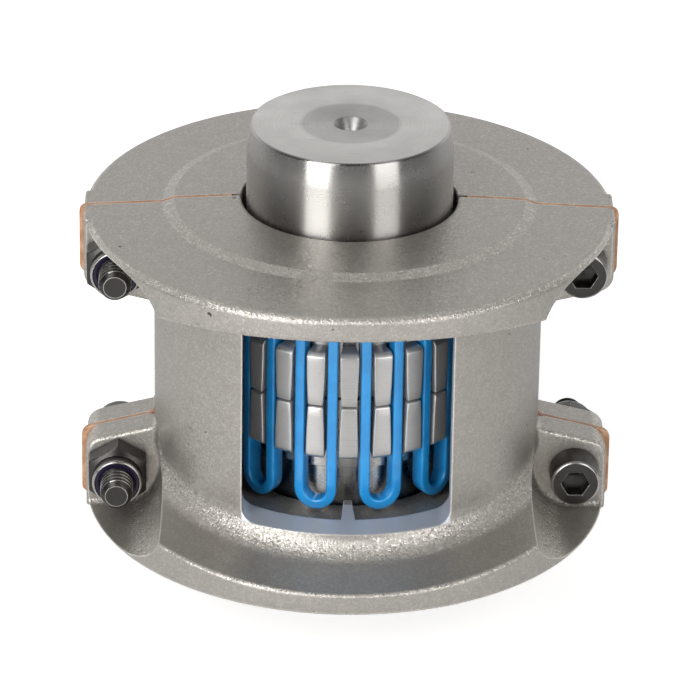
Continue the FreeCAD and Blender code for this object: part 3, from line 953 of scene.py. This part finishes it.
@dataclass
class Hub:
    """Turned steel hub with crowned teeth; drawn as the upper one, about the gap's middle."""

    end: End
    blank_finish: bpy.types.Material
    face_finish: bpy.types.Material
    tooth_finish: bpy.types.Material
    edge_highlight_finish: bpy.types.Material
    middle: float
    tooth_count: int = TOOTH_COUNT
    gap: float = 0.4
    radius: float = 19.85
    root_radius: float = 21.0
    shoulder: float = 14.6
    nose_radius: float = 19.2
    nose_length: float = 5.0
    face_chamfer: float = 0.3
    blank_round: float = 0.12
    drill_radius: float = 3.3
    pilot_radius: float = 1.15
    drill_angle: float = 60.0
    pilot_length: float = 3.0
    axis_hole: float = 0.01
    tooth_length: float = 11.0
    tooth_height: float = 4.1
    tooth_chamfer: float = 0.8
    tooth_edge: float = 0.22
    tooth_round: float = 0.1
    tooth_bite: float = 0.5
    gap_round: float = 0.26
    gap_insets: tuple[float, float] = (0.12, 0.03)
    slot_mouth: float = 2.9
    slot_flare: float = 0.35
    segments: int = 192
    edge_steps: int = 4
    crown_steps: int = 6
    length_steps: int = 5
    end_slope: float = 0.9
    drill_margin: float = 0.2
    rounded_slopes: tuple[float, float] = (0.45, 0.97)

    def __post_init__(self) -> None:
        """Works out the node's name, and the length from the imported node."""
        self.node = f"hub_{self.end.value}"
        low, high = box_mm(self.node)
        self.length = high.z - low.z
        self.face = self.gap / 2

    def blank_profile(self) -> Profile:
        """Profile of the blank from the gap's middle to the bottom of the centre drilling.

        Returns:
            (radius, z) of each ring.
        """
        soft = self.blank_round
        top = self.face + self.length
        shoulder = self.face + self.shoulder
        nose = top - self.nose_length
        chamfer = top - self.face_chamfer
        rim = self.nose_radius - self.face_chamfer
        pilot = top - (self.drill_radius - self.pilot_radius) / math.tan(math.radians(self.drill_angle / 2))
        return [
            (self.axis_hole, self.face),
            (self.root_radius - soft, self.face),
            (self.root_radius, self.face + soft),
            (self.root_radius, shoulder - soft),
            (self.root_radius - soft, shoulder),
            (self.radius + soft, shoulder),
            (self.radius, shoulder + soft),
            (self.radius, nose - soft),
            (self.radius - soft / 8, nose + soft),
            (self.nose_radius + soft / 8, chamfer - soft),
            (self.nose_radius - soft / 2, chamfer + soft / 2),
            (rim - soft / 2, top - soft / 2),
            (rim - soft * 1.5, top),
            (self.drill_radius + soft, top),
            (self.drill_radius - soft / 2, top - soft),
            (self.pilot_radius + soft / 2, pilot),
            (self.pilot_radius, pilot - soft),
            (self.pilot_radius, pilot - self.pilot_length),
            (self.axis_hole, pilot - self.pilot_length - self.pilot_radius / 2),
        ]

    def flank(self, radius: float, share: float, inset: float) -> float:
        """Angle of a tooth's flank from its middle.

        Args:
            radius: distance from the shaft axis.
            share: place along the tooth, 0 at the gap and 1 at the outer end.
            inset: distance that the flank is moved into the tooth.

        Returns:
            The angle in radians.
        """
        half_slot = self.slot_mouth / 2 + self.slot_flare * (1 - share) ** 2 + inset
        return math.pi / self.tooth_count - math.asin(half_slot / radius)

    def tooth_ring(self, height: float, drop: float, inset: float) -> list[Vector]:
        """Section of a tooth across the axis.

        Args:
            height: distance from the tooth's end at the gap.
            drop: how far the crown lies below the tip.
            inset: how far each flank is moved in.

        Returns:
            Points from one foot over the crown to the other.
        """
        tip = self.root_radius + self.tooth_height - drop
        share = height / self.tooth_length
        z = self.face + share * self.tooth_length
        edge = self.tooth_edge
        side = [(self.root_radius - self.tooth_bite, 0.0), (tip - 2 * edge, 0.0)]
        for i in range(self.edge_steps + 1):
            turn = math.pi / 2 * i / self.edge_steps
            side.append((tip - edge + edge * math.sin(turn), edge - edge * math.cos(turn)))
        right = [(radius, self.flank(radius, share, inset + extra)) for radius, extra in side]
        crown = right[-1][1]
        over = [(tip, crown * (1 - 2 * i / self.crown_steps)) for i in range(1, self.crown_steps)]
        left = [(radius, -angle) for radius, angle in reversed(right)]
        return [Vector((r * math.sin(a), -r * math.cos(a), z)) for r, a in right + over + left]

    def tooth(self) -> Skin:
        """One tooth at the front, rounded at the gap and chamfered at its outer end.

        Returns:
            The tooth.
        """
        length, soft, cut, mouth = self.tooth_length, self.tooth_round, self.tooth_chamfer, self.gap_round
        middle = [(length * i / self.length_steps, 0.0, 0.0) for i in range(1, self.length_steps)]
        stations = [
            (0.0, mouth, self.gap_insets[0]), (soft, mouth / 2, self.gap_insets[1]), (mouth, 0.0, 0.0), *middle,
            (length - cut - soft, 0.0, 0.0), (length - cut + soft, soft, 0.0),
            (length - 2 * soft, cut - 2 * soft, 0.0), (length - soft / 2, cut - soft / 4, soft / 4),
            (length, cut + soft, soft),
        ]
        return Skin().loft([self.tooth_ring(*station) for station in stations], True)

    def is_faced(self, centre: Vector, normal: Vector) -> bool:
        """Whether a face of the blank lies on its end or in its drilling."""
        drilled = math.hypot(centre.x, centre.y) < self.drill_radius + self.drill_margin
        return abs(normal.z) > self.end_slope or drilled

    def is_rounded(self, centre: Vector, normal: Vector) -> bool:
        """Whether a face of the teeth lies on a rounded edge or a chamfer."""
        low, high = self.rounded_slopes
        return low < normal.dot(Vector((centre.x, centre.y, 0)).normalized()) < high

    def build(self) -> None:
        """Builds the hub's blank and teeth in place of its CAD node."""
        flip = Matrix.Rotation(math.pi if self.end is End.LOWER else 0.0, 4, "Y")
        lift = Matrix.Translation((0, 0, self.middle)) @ flip
        blank = Skin().turn(self.blank_profile(), self.segments)
        blank.piece(
            f"{self.node}_blank", Slot.HUB, [self.blank_finish, self.face_finish], self.node, lift,
            second=self.is_faced)
        ring = Skin()
        tooth = self.tooth()
        for i in range(self.tooth_count):
            ring.add(tooth, Matrix.Rotation(2 * math.pi * i / self.tooth_count, 4, "Z"))
        # The teeth's rounded edges and chamfers take the lighter steel, a painted highlight.
        ring.piece(
            f"{self.node}_teeth", Slot.HUB, [self.tooth_finish, self.edge_highlight_finish], self.node, lift, 50.0,
            self.is_rounded)
        LOG.info("hub: %s", self.node)


# Spring


@dataclass
class GridSpring:
    """Serpentine strip that runs through every slot, up and down round the hubs."""

    finish: bpy.types.Material
    middle: float
    tooth_count: int = TOOTH_COUNT
    inner_radius: float = 21.55
    outer_radius: float = 24.8
    width: float = 2.0
    reach: float = 22.3
    rounding: float = 0.42
    end_length: float = 1.5
    loop_steps: int = 20
    leg_steps: int = 4
    corner_steps: int = 4
    node: str = "grid_spring"

    def __post_init__(self) -> None:
        """Works out the loops on the unrolled strip."""
        self.loop_radius = self.outer_radius * math.pi / self.tooth_count
        self.leg_end = self.reach - self.loop_radius - self.width / 2

    def path(self) -> list[tuple[float, float, float]]:
        """Middle line of the strip, unrolled, from one end at the back round to the other.

        Returns:
            (distance round, height, heading) at each step, where the heading is the angle of travel.
        """
        pitch = 2 * self.loop_radius
        start = -self.tooth_count / 2 * pitch + self.loop_radius
        steps = [(start, self.leg_end + self.end_length, -math.pi / 2)]
        for leg in range(self.tooth_count):
            side = start + leg * pitch
            sign = -1 if leg % 2 == 0 else 1
            for i in range(self.leg_steps + 1):
                height = -sign * self.leg_end * (1 - 2 * i / self.leg_steps)
                steps.append((side, height, sign * math.pi / 2))
            if leg == self.tooth_count - 1:
                steps.append((side, self.leg_end + self.end_length, math.pi / 2))
                break
            for i in range(1, self.loop_steps):
                turn = math.pi * i / self.loop_steps
                along = side + self.loop_radius - self.loop_radius * math.cos(turn)
                height = sign * (self.leg_end + self.loop_radius * math.sin(turn))
                steps.append((along, height, sign * (math.pi / 2 - turn)))
        return steps

    def section(self) -> list[tuple[float, float]]:
        """Section of the strip with rounded edges.

        Returns:
            (offset across the strip, radius) of each point.
        """
        r = self.rounding
        half = self.width / 2 - r
        outer, inner = self.outer_radius - r, self.inner_radius + r
        corners = [(half, outer, 0.0), (-half, outer, 90.0), (-half, inner, 180.0), (half, inner, 270.0)]
        points = []
        for offset, radius, start in corners:
            for i in range(self.corner_steps + 1):
                angle = math.radians(start + 90 * i / self.corner_steps)
                points.append((offset + r * math.cos(angle), radius + r * math.sin(angle)))
        return points

    def build(self) -> None:
        """Builds the strip in place of its CAD node."""
        rings = []
        for along, height, heading in self.path():
            ring = []
            for offset, radius in self.section():
                angle = (along - offset * math.sin(heading)) / self.outer_radius
                z = height + offset * math.cos(heading)
                ring.append(Vector((radius * math.sin(angle), -radius * math.cos(angle), z + self.middle)))
            rings.append(ring)
        Skin().loft(rings, True).piece(f"{self.node}_strip", Slot.STRIP, [self.finish], self.node, sharp=60.0)
        LOG.info("spring: %s", self.node)


# Fasteners


@dataclass
class Fastener:
    """Screw or nut that clamps the cover, drawn along +Z from its seat at Z = 0."""

    place: str
    facing: Facing
    finish: bpy.types.Material
    worn_finish: bpy.types.Material

    def placement(self, node: str, reach: float) -> Matrix:
        """Matrix that puts the drawn part where its CAD node is.

        Args:
            node: name of the CAD node.
            reach: distance from the seat to the part's outer end.

        Returns:
            The matrix, in millimetres.
        """
        low, high = box_mm(node)
        seat = low.y + reach if self.facing is Facing.FRONT else high.y - reach
        axis = Matrix.Translation(((low.x + high.x) / 2, seat, (low.z + high.z) / 2))
        turn = Matrix.Rotation(math.radians(self.facing.value), 4, "Z")
        return axis @ turn @ Matrix.Rotation(math.radians(90), 4, "X")


@dataclass
class CapScrew(Fastener):
    """Socket cap screw: the head is above its seat and the thread below."""

    radius: float = 3.175
    pitch: float = 1.27
    thread_depth: float = 0.5
    thread_length: float = 19.0
    thread_steepness: float = 1.25
    thread_flat: float = 0.12
    crest_depth: float = 0.16
    crest_margin: float = 0.1
    end_chamfer: float = 0.95
    end_margin: float = 0.02
    head_radius: float = 4.765
    head_height: float = 6.0
    head_chamfer: float = 0.35
    head_edge: float = 0.12
    socket_flats: float = 4.76
    socket_depth: float = 3.0
    socket_tip: float = 0.7
    mouth_radius: float = 3.2
    mouth_margin: float = 0.01
    axis_hole: float = 0.01
    segments: int = 72
    turn_steps: int = 8

    def __post_init__(self) -> None:
        """Works out the node's name, and the shank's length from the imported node."""
        self.node = f"screw_{self.place}"
        low, high = box_mm(self.node)
        self.length = high.y - low.y - self.head_height
        self.end_radius = self.radius - self.end_chamfer - self.end_margin

    def thread(self) -> Skin:
        """Threaded shank, whose rings follow the helix.

        Returns:
            The shank.
        """
        end = -self.length
        last = end + self.thread_length
        steps = self.turn_steps
        turns = int(self.thread_length / self.pitch)
        rings = []
        for row in range(-steps, turns * steps + 1):
            wave = abs((row / steps) % 1.0 - 0.5) * 2
            depth = self.thread_depth * min(1.0, max(0.0, wave * self.thread_steepness - self.thread_flat))
            ring = []
            for i in range(self.segments):
                share = i / self.segments
                travel = end + (row / steps + share) * self.pitch
                z = min(max(travel, end), last)
                run_in = max(0.0, self.end_chamfer - (z - end))
                reach = min(self.radius - depth, self.radius - run_in)
                if travel > last - self.pitch:
                    reach = self.radius - depth * max(0.0, (last - travel) / self.pitch)
                angle = 2 * math.pi * share
                ring.append(Vector((reach * math.cos(angle), reach * math.sin(angle), z)))
            rings.append(ring)
        return Skin().loft(rings)

    def head_profile(self) -> Profile:
        """Profile from the plain shank over the head to the bottom of its socket.

        Returns:
            (radius, z) of each ring.
        """
        hole = hexagon(self.socket_flats)
        edge = self.head_edge
        top = self.head_height
        rim = self.head_radius - self.head_chamfer
        floor = top - self.socket_depth
        return [
            (self.radius, self.thread_length - self.length),
            (self.radius, 0.0),
            (self.head_radius, 0.0),
            (self.head_radius, top - self.head_chamfer - edge),
            (self.head_radius - edge / 2, top - self.head_chamfer + edge / 2),
            (rim - edge / 2, top - edge / 3),
            (rim - edge * 1.5, top),
            (lambda angle: hole(angle) + edge, top),
            (hole, top - edge),
            (hole, floor),
            (self.socket_flats / 2 - edge, floor),
            (self.axis_hole, floor - self.socket_tip),
        ]

    def is_worn(self, centre: Vector, normal: Vector) -> bool:
        """Whether a face lies where handling has rubbed the black off.

        Args:
            centre: middle of the face, as drawn.
            normal: normal of the face, which isn't needed here.

        Returns:
            True on a thread's crest, the end's rim, the head's chamfer and the socket's mouth.
        """
        reach = math.hypot(centre.x, centre.y)
        top = self.head_height - self.head_edge
        margin = self.crest_margin
        crest = self.radius - self.crest_depth < reach < self.radius + margin and centre.z < -margin
        end = centre.z < self.end_margin - self.length and reach > self.end_radius - self.head_edge
        rim = self.head_radius - self.head_chamfer - self.head_edge
        chamfer = centre.z > top - self.head_chamfer and reach > rim
        mouth = top < centre.z < self.head_height - self.mouth_margin and reach < self.mouth_radius
        return crest or end or chamfer or mouth

    def build(self) -> None:
        """Builds the screw in place of its CAD node."""
        rim, end = self.end_radius, -self.length
        skin = Skin().turn(self.head_profile(), self.segments)
        skin.turn([(self.axis_hole, end), (rim - self.head_edge, end), (rim, end)], self.segments)
        skin.add(self.thread())
        skin.piece(
            f"{self.node}_threaded", Slot.FASTENER, [self.finish, self.worn_finish], self.node,
            self.placement(self.node, self.head_height), 45.0, self.is_worn)
        LOG.info("screw: %s", self.node)


@dataclass
class LockNut(Fastener):
    """Lock nut: hexagon on the seat, then a round collar that holds the nylon ring.

    Each of the rounded edges is given as (distance in radius, drop) pairs from its corner.
    """

    ring_finish: bpy.types.Material
    flats: float = 11.11
    hex_height: float = 4.6
    hex_corner: float = 0.25
    chamfer_angle: float = 30.0
    chamfer_steps: int = 10
    chamfer_margin: float = 0.02
    base_chamfer: tuple[float, float] = (0.25, 0.22)
    bore: float = 3.175
    collar_radius: float = 4.85
    collar_foot: float = 0.15
    lip: float = 0.55
    lip_outside: Sequence[tuple[float, float]] = ((0.0, 0.5), (0.06, 0.25), (0.18, 0.08), (0.34, 0.0))
    lip_inside: Sequence[tuple[float, float]] = ((0.08, 0.03), (0.0, 0.12))
    lip_worn_height: float = 0.45
    ring_drop: float = 0.25
    ring_thickness: float = 1.7
    ring_outside: Sequence[tuple[float, float]] = ((0.0, 0.1), (0.1, 0.0))
    ring_inside: Sequence[tuple[float, float]] = ((0.3, 0.0), (0.05, 0.22), (0.0, 0.4))
    segments: int = 144

    def __post_init__(self) -> None:
        """Works out the node's name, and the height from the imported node."""
        self.node = f"nut_{self.place}"
        low, high = box_mm(self.node)
        self.height = high.y - low.y
        self.inner = self.collar_radius - self.lip

    def body_profile(self) -> Profile:
        """Profile of the nut from its bore over the hexagon and the collar back to the bore.

        Returns:
            (radius, z) of each ring.
        """
        side = hexagon(self.flats, 90.0, self.hex_corner)
        slope = math.tan(math.radians(self.chamfer_angle))
        drop = (self.flats / math.sqrt(3) - self.collar_radius) * slope
        top, height, inner = self.hex_height, self.height, self.inner

        def chamfered(z: float) -> Callable[[float], float]:
            """Hexagon cut by the chamfer cone at a height."""
            cone = self.collar_radius + (top - z) / slope
            return lambda angle: min(side(angle), cone)

        base_inset, base_rise = self.base_chamfer
        rings: list[tuple[Radius, float]] = [
            (self.bore, 0.0),
            (lambda angle: side(angle) - base_inset, 0.0),
            (side, base_rise),
            (side, top - drop - self.chamfer_margin),
        ]
        levels = [top - drop * (1 - i / self.chamfer_steps) for i in range(self.chamfer_steps + 1)]
        rings += [(chamfered(z), z) for z in levels]
        rings.append((self.collar_radius, top + self.collar_foot))
        rings += [(self.collar_radius - inset, height - fall) for inset, fall in self.lip_outside]
        rings += [(inner + inset, height - fall) for inset, fall in self.lip_inside]
        seat = height - self.ring_drop - self.ring_thickness
        return rings + [(inner, seat), (self.bore, seat), (self.bore, 0.0)]

    def ring_profile(self) -> Profile:
        """Closed profile of the nylon ring.

        Returns:
            (radius, z) of each ring.
        """
        face = self.height - self.ring_drop
        seat = face - self.ring_thickness
        outside = [(self.inner - inset, face - fall) for inset, fall in self.ring_outside]
        inside = [(self.bore + inset, face - fall) for inset, fall in self.ring_inside]
        return [(self.inner, seat), *outside, *inside, (self.bore, seat), (self.inner, seat)]

    def is_lip(self, centre: Vector, normal: Vector) -> bool:
        """Whether a face lies on the collar's rolled lip."""
        return centre.z > self.height - self.lip_worn_height and math.hypot(centre.x, centre.y) > self.inner

    def build(self) -> None:
        """Builds the nut and its nylon ring in place of their CAD nodes."""
        place = self.placement(self.node, self.height)
        Skin().turn(self.body_profile(), self.segments).piece(
            f"{self.node}_body", Slot.FASTENER, [self.finish, self.worn_finish], self.node, place, 35.0,
            self.is_lip)
        insert = f"nut_insert_{self.place}"
        Skin().turn(self.ring_profile(), self.segments).piece(
            f"{insert}_ring", Slot.INSERT, [self.ring_finish], insert, place, 45.0)
        LOG.info("nut: %s", self.node)


# Studio


@dataclass(frozen=True)
class Softbox:
    """Rectangular soft lamp aimed at the coupling."""

    name: str
    azimuth: float
    elevation: float
    distance: float
    width: float
    height: float
    power: float
    mirrored: bool = True

    def build(self, target: Vector) -> None:
        """Makes the lamp.

        Args:
            target: point that the lamp faces, in metres.
        """
        lamp = bpy.data.lights.new(self.name, "AREA")
        lamp.shape = "RECTANGLE"
        lamp.size = self.width
        lamp.size_y = self.height
        lamp.energy = self.power
        back = bearing(self.azimuth, self.elevation)
        holder = bpy.data.objects.new(self.name, lamp)
        holder.location = target + back * self.distance
        holder.rotation_mode = "QUATERNION"
        holder.rotation_quaternion = (-back).to_track_quat("-Z", "Y")
        holder.visible_glossy = self.mirrored
        bpy.context.scene.collection.objects.link(holder)


@dataclass
class Studio:
    """White floor and backdrop, soft lamps and the camera."""

    middle: float
    frame_size: int = 700
    camera_distance: float = 0.962851
    camera_elevation: float = 26.183
    camera_azimuth: float = -1.243
    camera_roll: float = 0.906
    focal_pixels: float = 4945.878
    shift_right_pixels: float = -2.792
    shift_down_pixels: float = 0.531
    sensor: float = 36.0
    clip_start: float = 0.05
    floor_radius: float = 1.5
    floor_sides: int = 64
    floor_colour: Colour = (0.86, 0.86, 0.86, 1.0)
    floor_roughness: float = 0.9
    floor_glow: float = 0.62
    floor_bounce: float = 0.11
    back_level: float = 0.9
    back_rise: tuple[float, float] = (-0.1, 0.75)
    front_level: float = 0.05
    high_share: float = 0.45
    high_fade: tuple[float, float] = (0.3, 0.7)
    lamps: tuple[Softbox, ...] = (
        Softbox("softbox_left", azimuth=-36.0, elevation=28.0, distance=0.9, width=0.44, height=1.0, power=7.4),
        Softbox("softbox_right", azimuth=39.0, elevation=22.0, distance=0.9, width=0.43, height=0.8, power=3.4),
        Softbox("overhead", azimuth=180.0, elevation=62.0, distance=1.0, width=1.0, height=0.9, power=1.0),
        Softbox(
            "front_fill", azimuth=-8.0, elevation=5.0, distance=0.9, width=0.9, height=0.4, power=2.6,
            mirrored=False),
    )

    def __post_init__(self) -> None:
        """Finds the point that the lamps face and the camera turns about, in metres."""
        self.target = Vector((0, 0, self.middle * MM))

    def camera(self) -> None:
        """Makes the camera at the photograph's view."""
        azimuth, roll = math.radians(self.camera_azimuth), math.radians(self.camera_roll)
        back = bearing(self.camera_azimuth, self.camera_elevation)
        right = Vector((math.cos(azimuth), math.sin(azimuth), 0))
        up = back.cross(right)
        rolled_right = right * math.cos(roll) + up * math.sin(roll)
        rolled_up = up * math.cos(roll) - right * math.sin(roll)
        view = bpy.data.cameras.new("camera")
        view.sensor_width = self.sensor
        view.lens = self.sensor * self.focal_pixels / self.frame_size
        view.shift_x = -self.shift_right_pixels / self.frame_size
        view.shift_y = self.shift_down_pixels / self.frame_size
        view.clip_start = self.clip_start
        holder = bpy.data.objects.new("camera", view)
        turn = Matrix((rolled_right, rolled_up, back)).transposed().to_4x4()
        holder.matrix_world = Matrix.Translation(back * self.camera_distance + self.target) @ turn
        bpy.context.scene.collection.objects.link(holder)
        bpy.context.scene.camera = holder

    def floor(self) -> None:
        """Makes the pale floor, which shows the coupling's soft shadow."""
        angles = [2 * math.pi * i / self.floor_sides for i in range(self.floor_sides)]
        rim = [(self.floor_radius * math.cos(a), self.floor_radius * math.sin(a), 0.0) for a in angles]
        mesh = bpy.data.meshes.new("floor")
        mesh.from_pydata(rim, [], [tuple(range(self.floor_sides))])
        floor = bpy.data.objects.new("floor", mesh)
        bpy.context.scene.collection.objects.link(floor)
        material, graph, shader = new_finish(
            "floor_paper", Base_Color=self.floor_colour, Roughness=self.floor_roughness, Emission_Strength=1.0)
        seen = graph.add("ShaderNodeLightPath").outputs["Is Camera Ray"]
        glow = graph.blend(seen, grey(self.floor_bounce), grey(self.floor_glow))
        graph.feed(shader.inputs["Emission Color"], glow)
        mesh.materials.append(material)

    def world(self) -> None:
        """Makes the surroundings: white to the camera, pale behind the coupling, dim in front of it."""
        world = bpy.data.worlds.new("studio")
        world.use_nodes = True
        bpy.context.scene.world = world
        graph = Graph(world.node_tree)
        way = graph.split(graph.add("ShaderNodeTexCoord").outputs["Generated"])
        behind = graph.span(way[1], *self.back_rise, 0.0, self.back_level)
        low = graph.span(way[2], *self.high_fade, 1.0, self.high_share)
        glow = graph.plus(graph.times(behind, low), self.front_level)
        seen = graph.add("ShaderNodeLightPath").outputs["Is Camera Ray"]
        background = world.node_tree.nodes["Background"]
        background.inputs["Color"].default_value = grey(1.0)
        graph.feed(background.inputs["Strength"], graph.span(seen, 0.0, 1.0, glow, 1.0))

    def build(self) -> None:
        """Builds the floor, the surroundings, the lamps and the camera."""
        self.floor()
        self.world()
        for lamp in self.lamps:
            lamp.build(self.target)
        self.camera()
        bpy.context.scene.view_settings.view_transform = "Standard"


# Coupling


@dataclass
class Coupling:
    """Whole coupling: own fine pieces where the CAD nodes are plain, finishes on the rest."""

    window_half_width: float = 19.9
    window_offset: float = -0.45
    window_floor: float = 20.5
    window_top: float = 21.5
    margin: float = 0.02

    def __post_init__(self) -> None:
        """Finds the middle of the gap between the hubs."""
        self.middle = (box_mm("hub_upper")[0].z + box_mm("hub_lower")[1].z) / 2

    def window_box(self) -> tuple[float, float, float, float, float, float]:
        """Box of the milled window, a hair larger than the cut.

        Returns:
            Low and high along each axis, in millimetres.
        """
        front = box_mm("cover_half_front")[0].y
        side = self.window_half_width + self.margin
        low = self.middle - self.window_floor - self.margin
        high = self.middle + self.window_top + self.margin
        return (self.window_offset - side, self.window_offset + side, front, front / 2, low, high)

    def build_hubs(self) -> None:
        """Builds both hubs."""
        finishes = [finish.make() for finish in (TURNED_SIDE, FACED_END, CUT_TEETH, TOOTH_EDGE_HIGHLIGHT)]
        for end in End:
            Hub(end, *finishes, self.middle).build()

    def build_fasteners(self, black: bpy.types.Material) -> None:
        """Builds the screws and nuts, with the heads at the back on the left and at the front on the right.

        Args:
            black: finish of the screws and nuts.
        """
        worn, nylon = RUBBED_BARE.make(), INSERT_NYLON.make()
        for side in Side:
            head, tip = (Facing.BACK, Facing.FRONT) if side is Side.LEFT else (Facing.FRONT, Facing.BACK)
            for end in End:
                place = f"{side.value}_{end.value}"
                CapScrew(place, head, black, worn).build()
                LockNut(place, tip, black, worn, nylon).build()

    def dress_cover(self, black: bpy.types.Material) -> None:
        """Gives the cover halves, the grease plug, the gaskets and the seals their finishes.

        Args:
            black: finish of the grease plug.
        """
        cast = CastAluminium(self.window_box()).make()
        fibre, rubber = GasketFibre().make(), SEAL_RUBBER.make()
        finishes = {"cover_half_front": cast, "cover_half_rear": cast, "grease_plug": black}
        finishes |= {f"gasket_{side.value}": fibre for side in Side}
        finishes |= {f"seal_{end.value}": rubber for end in End}
        for node, material in finishes.items():
            dress_node(node, material)

    def build(self) -> None:
        """Builds every piece in order and dresses the rest."""
        self.build_hubs()
        GridSpring(StripPaint().make(), self.middle).build()
        black = OILED_BLACK.make()
        self.build_fasteners(black)
        self.dress_cover(black)


def main() -> None:
    """Dresses the coupling, then builds the studio."""
    logging.basicConfig(level=logging.INFO, format="%(message)s")
    coupling = Coupling()
    coupling.build()
    Studio(coupling.middle).build()


if __name__ == "__main__":
    main()
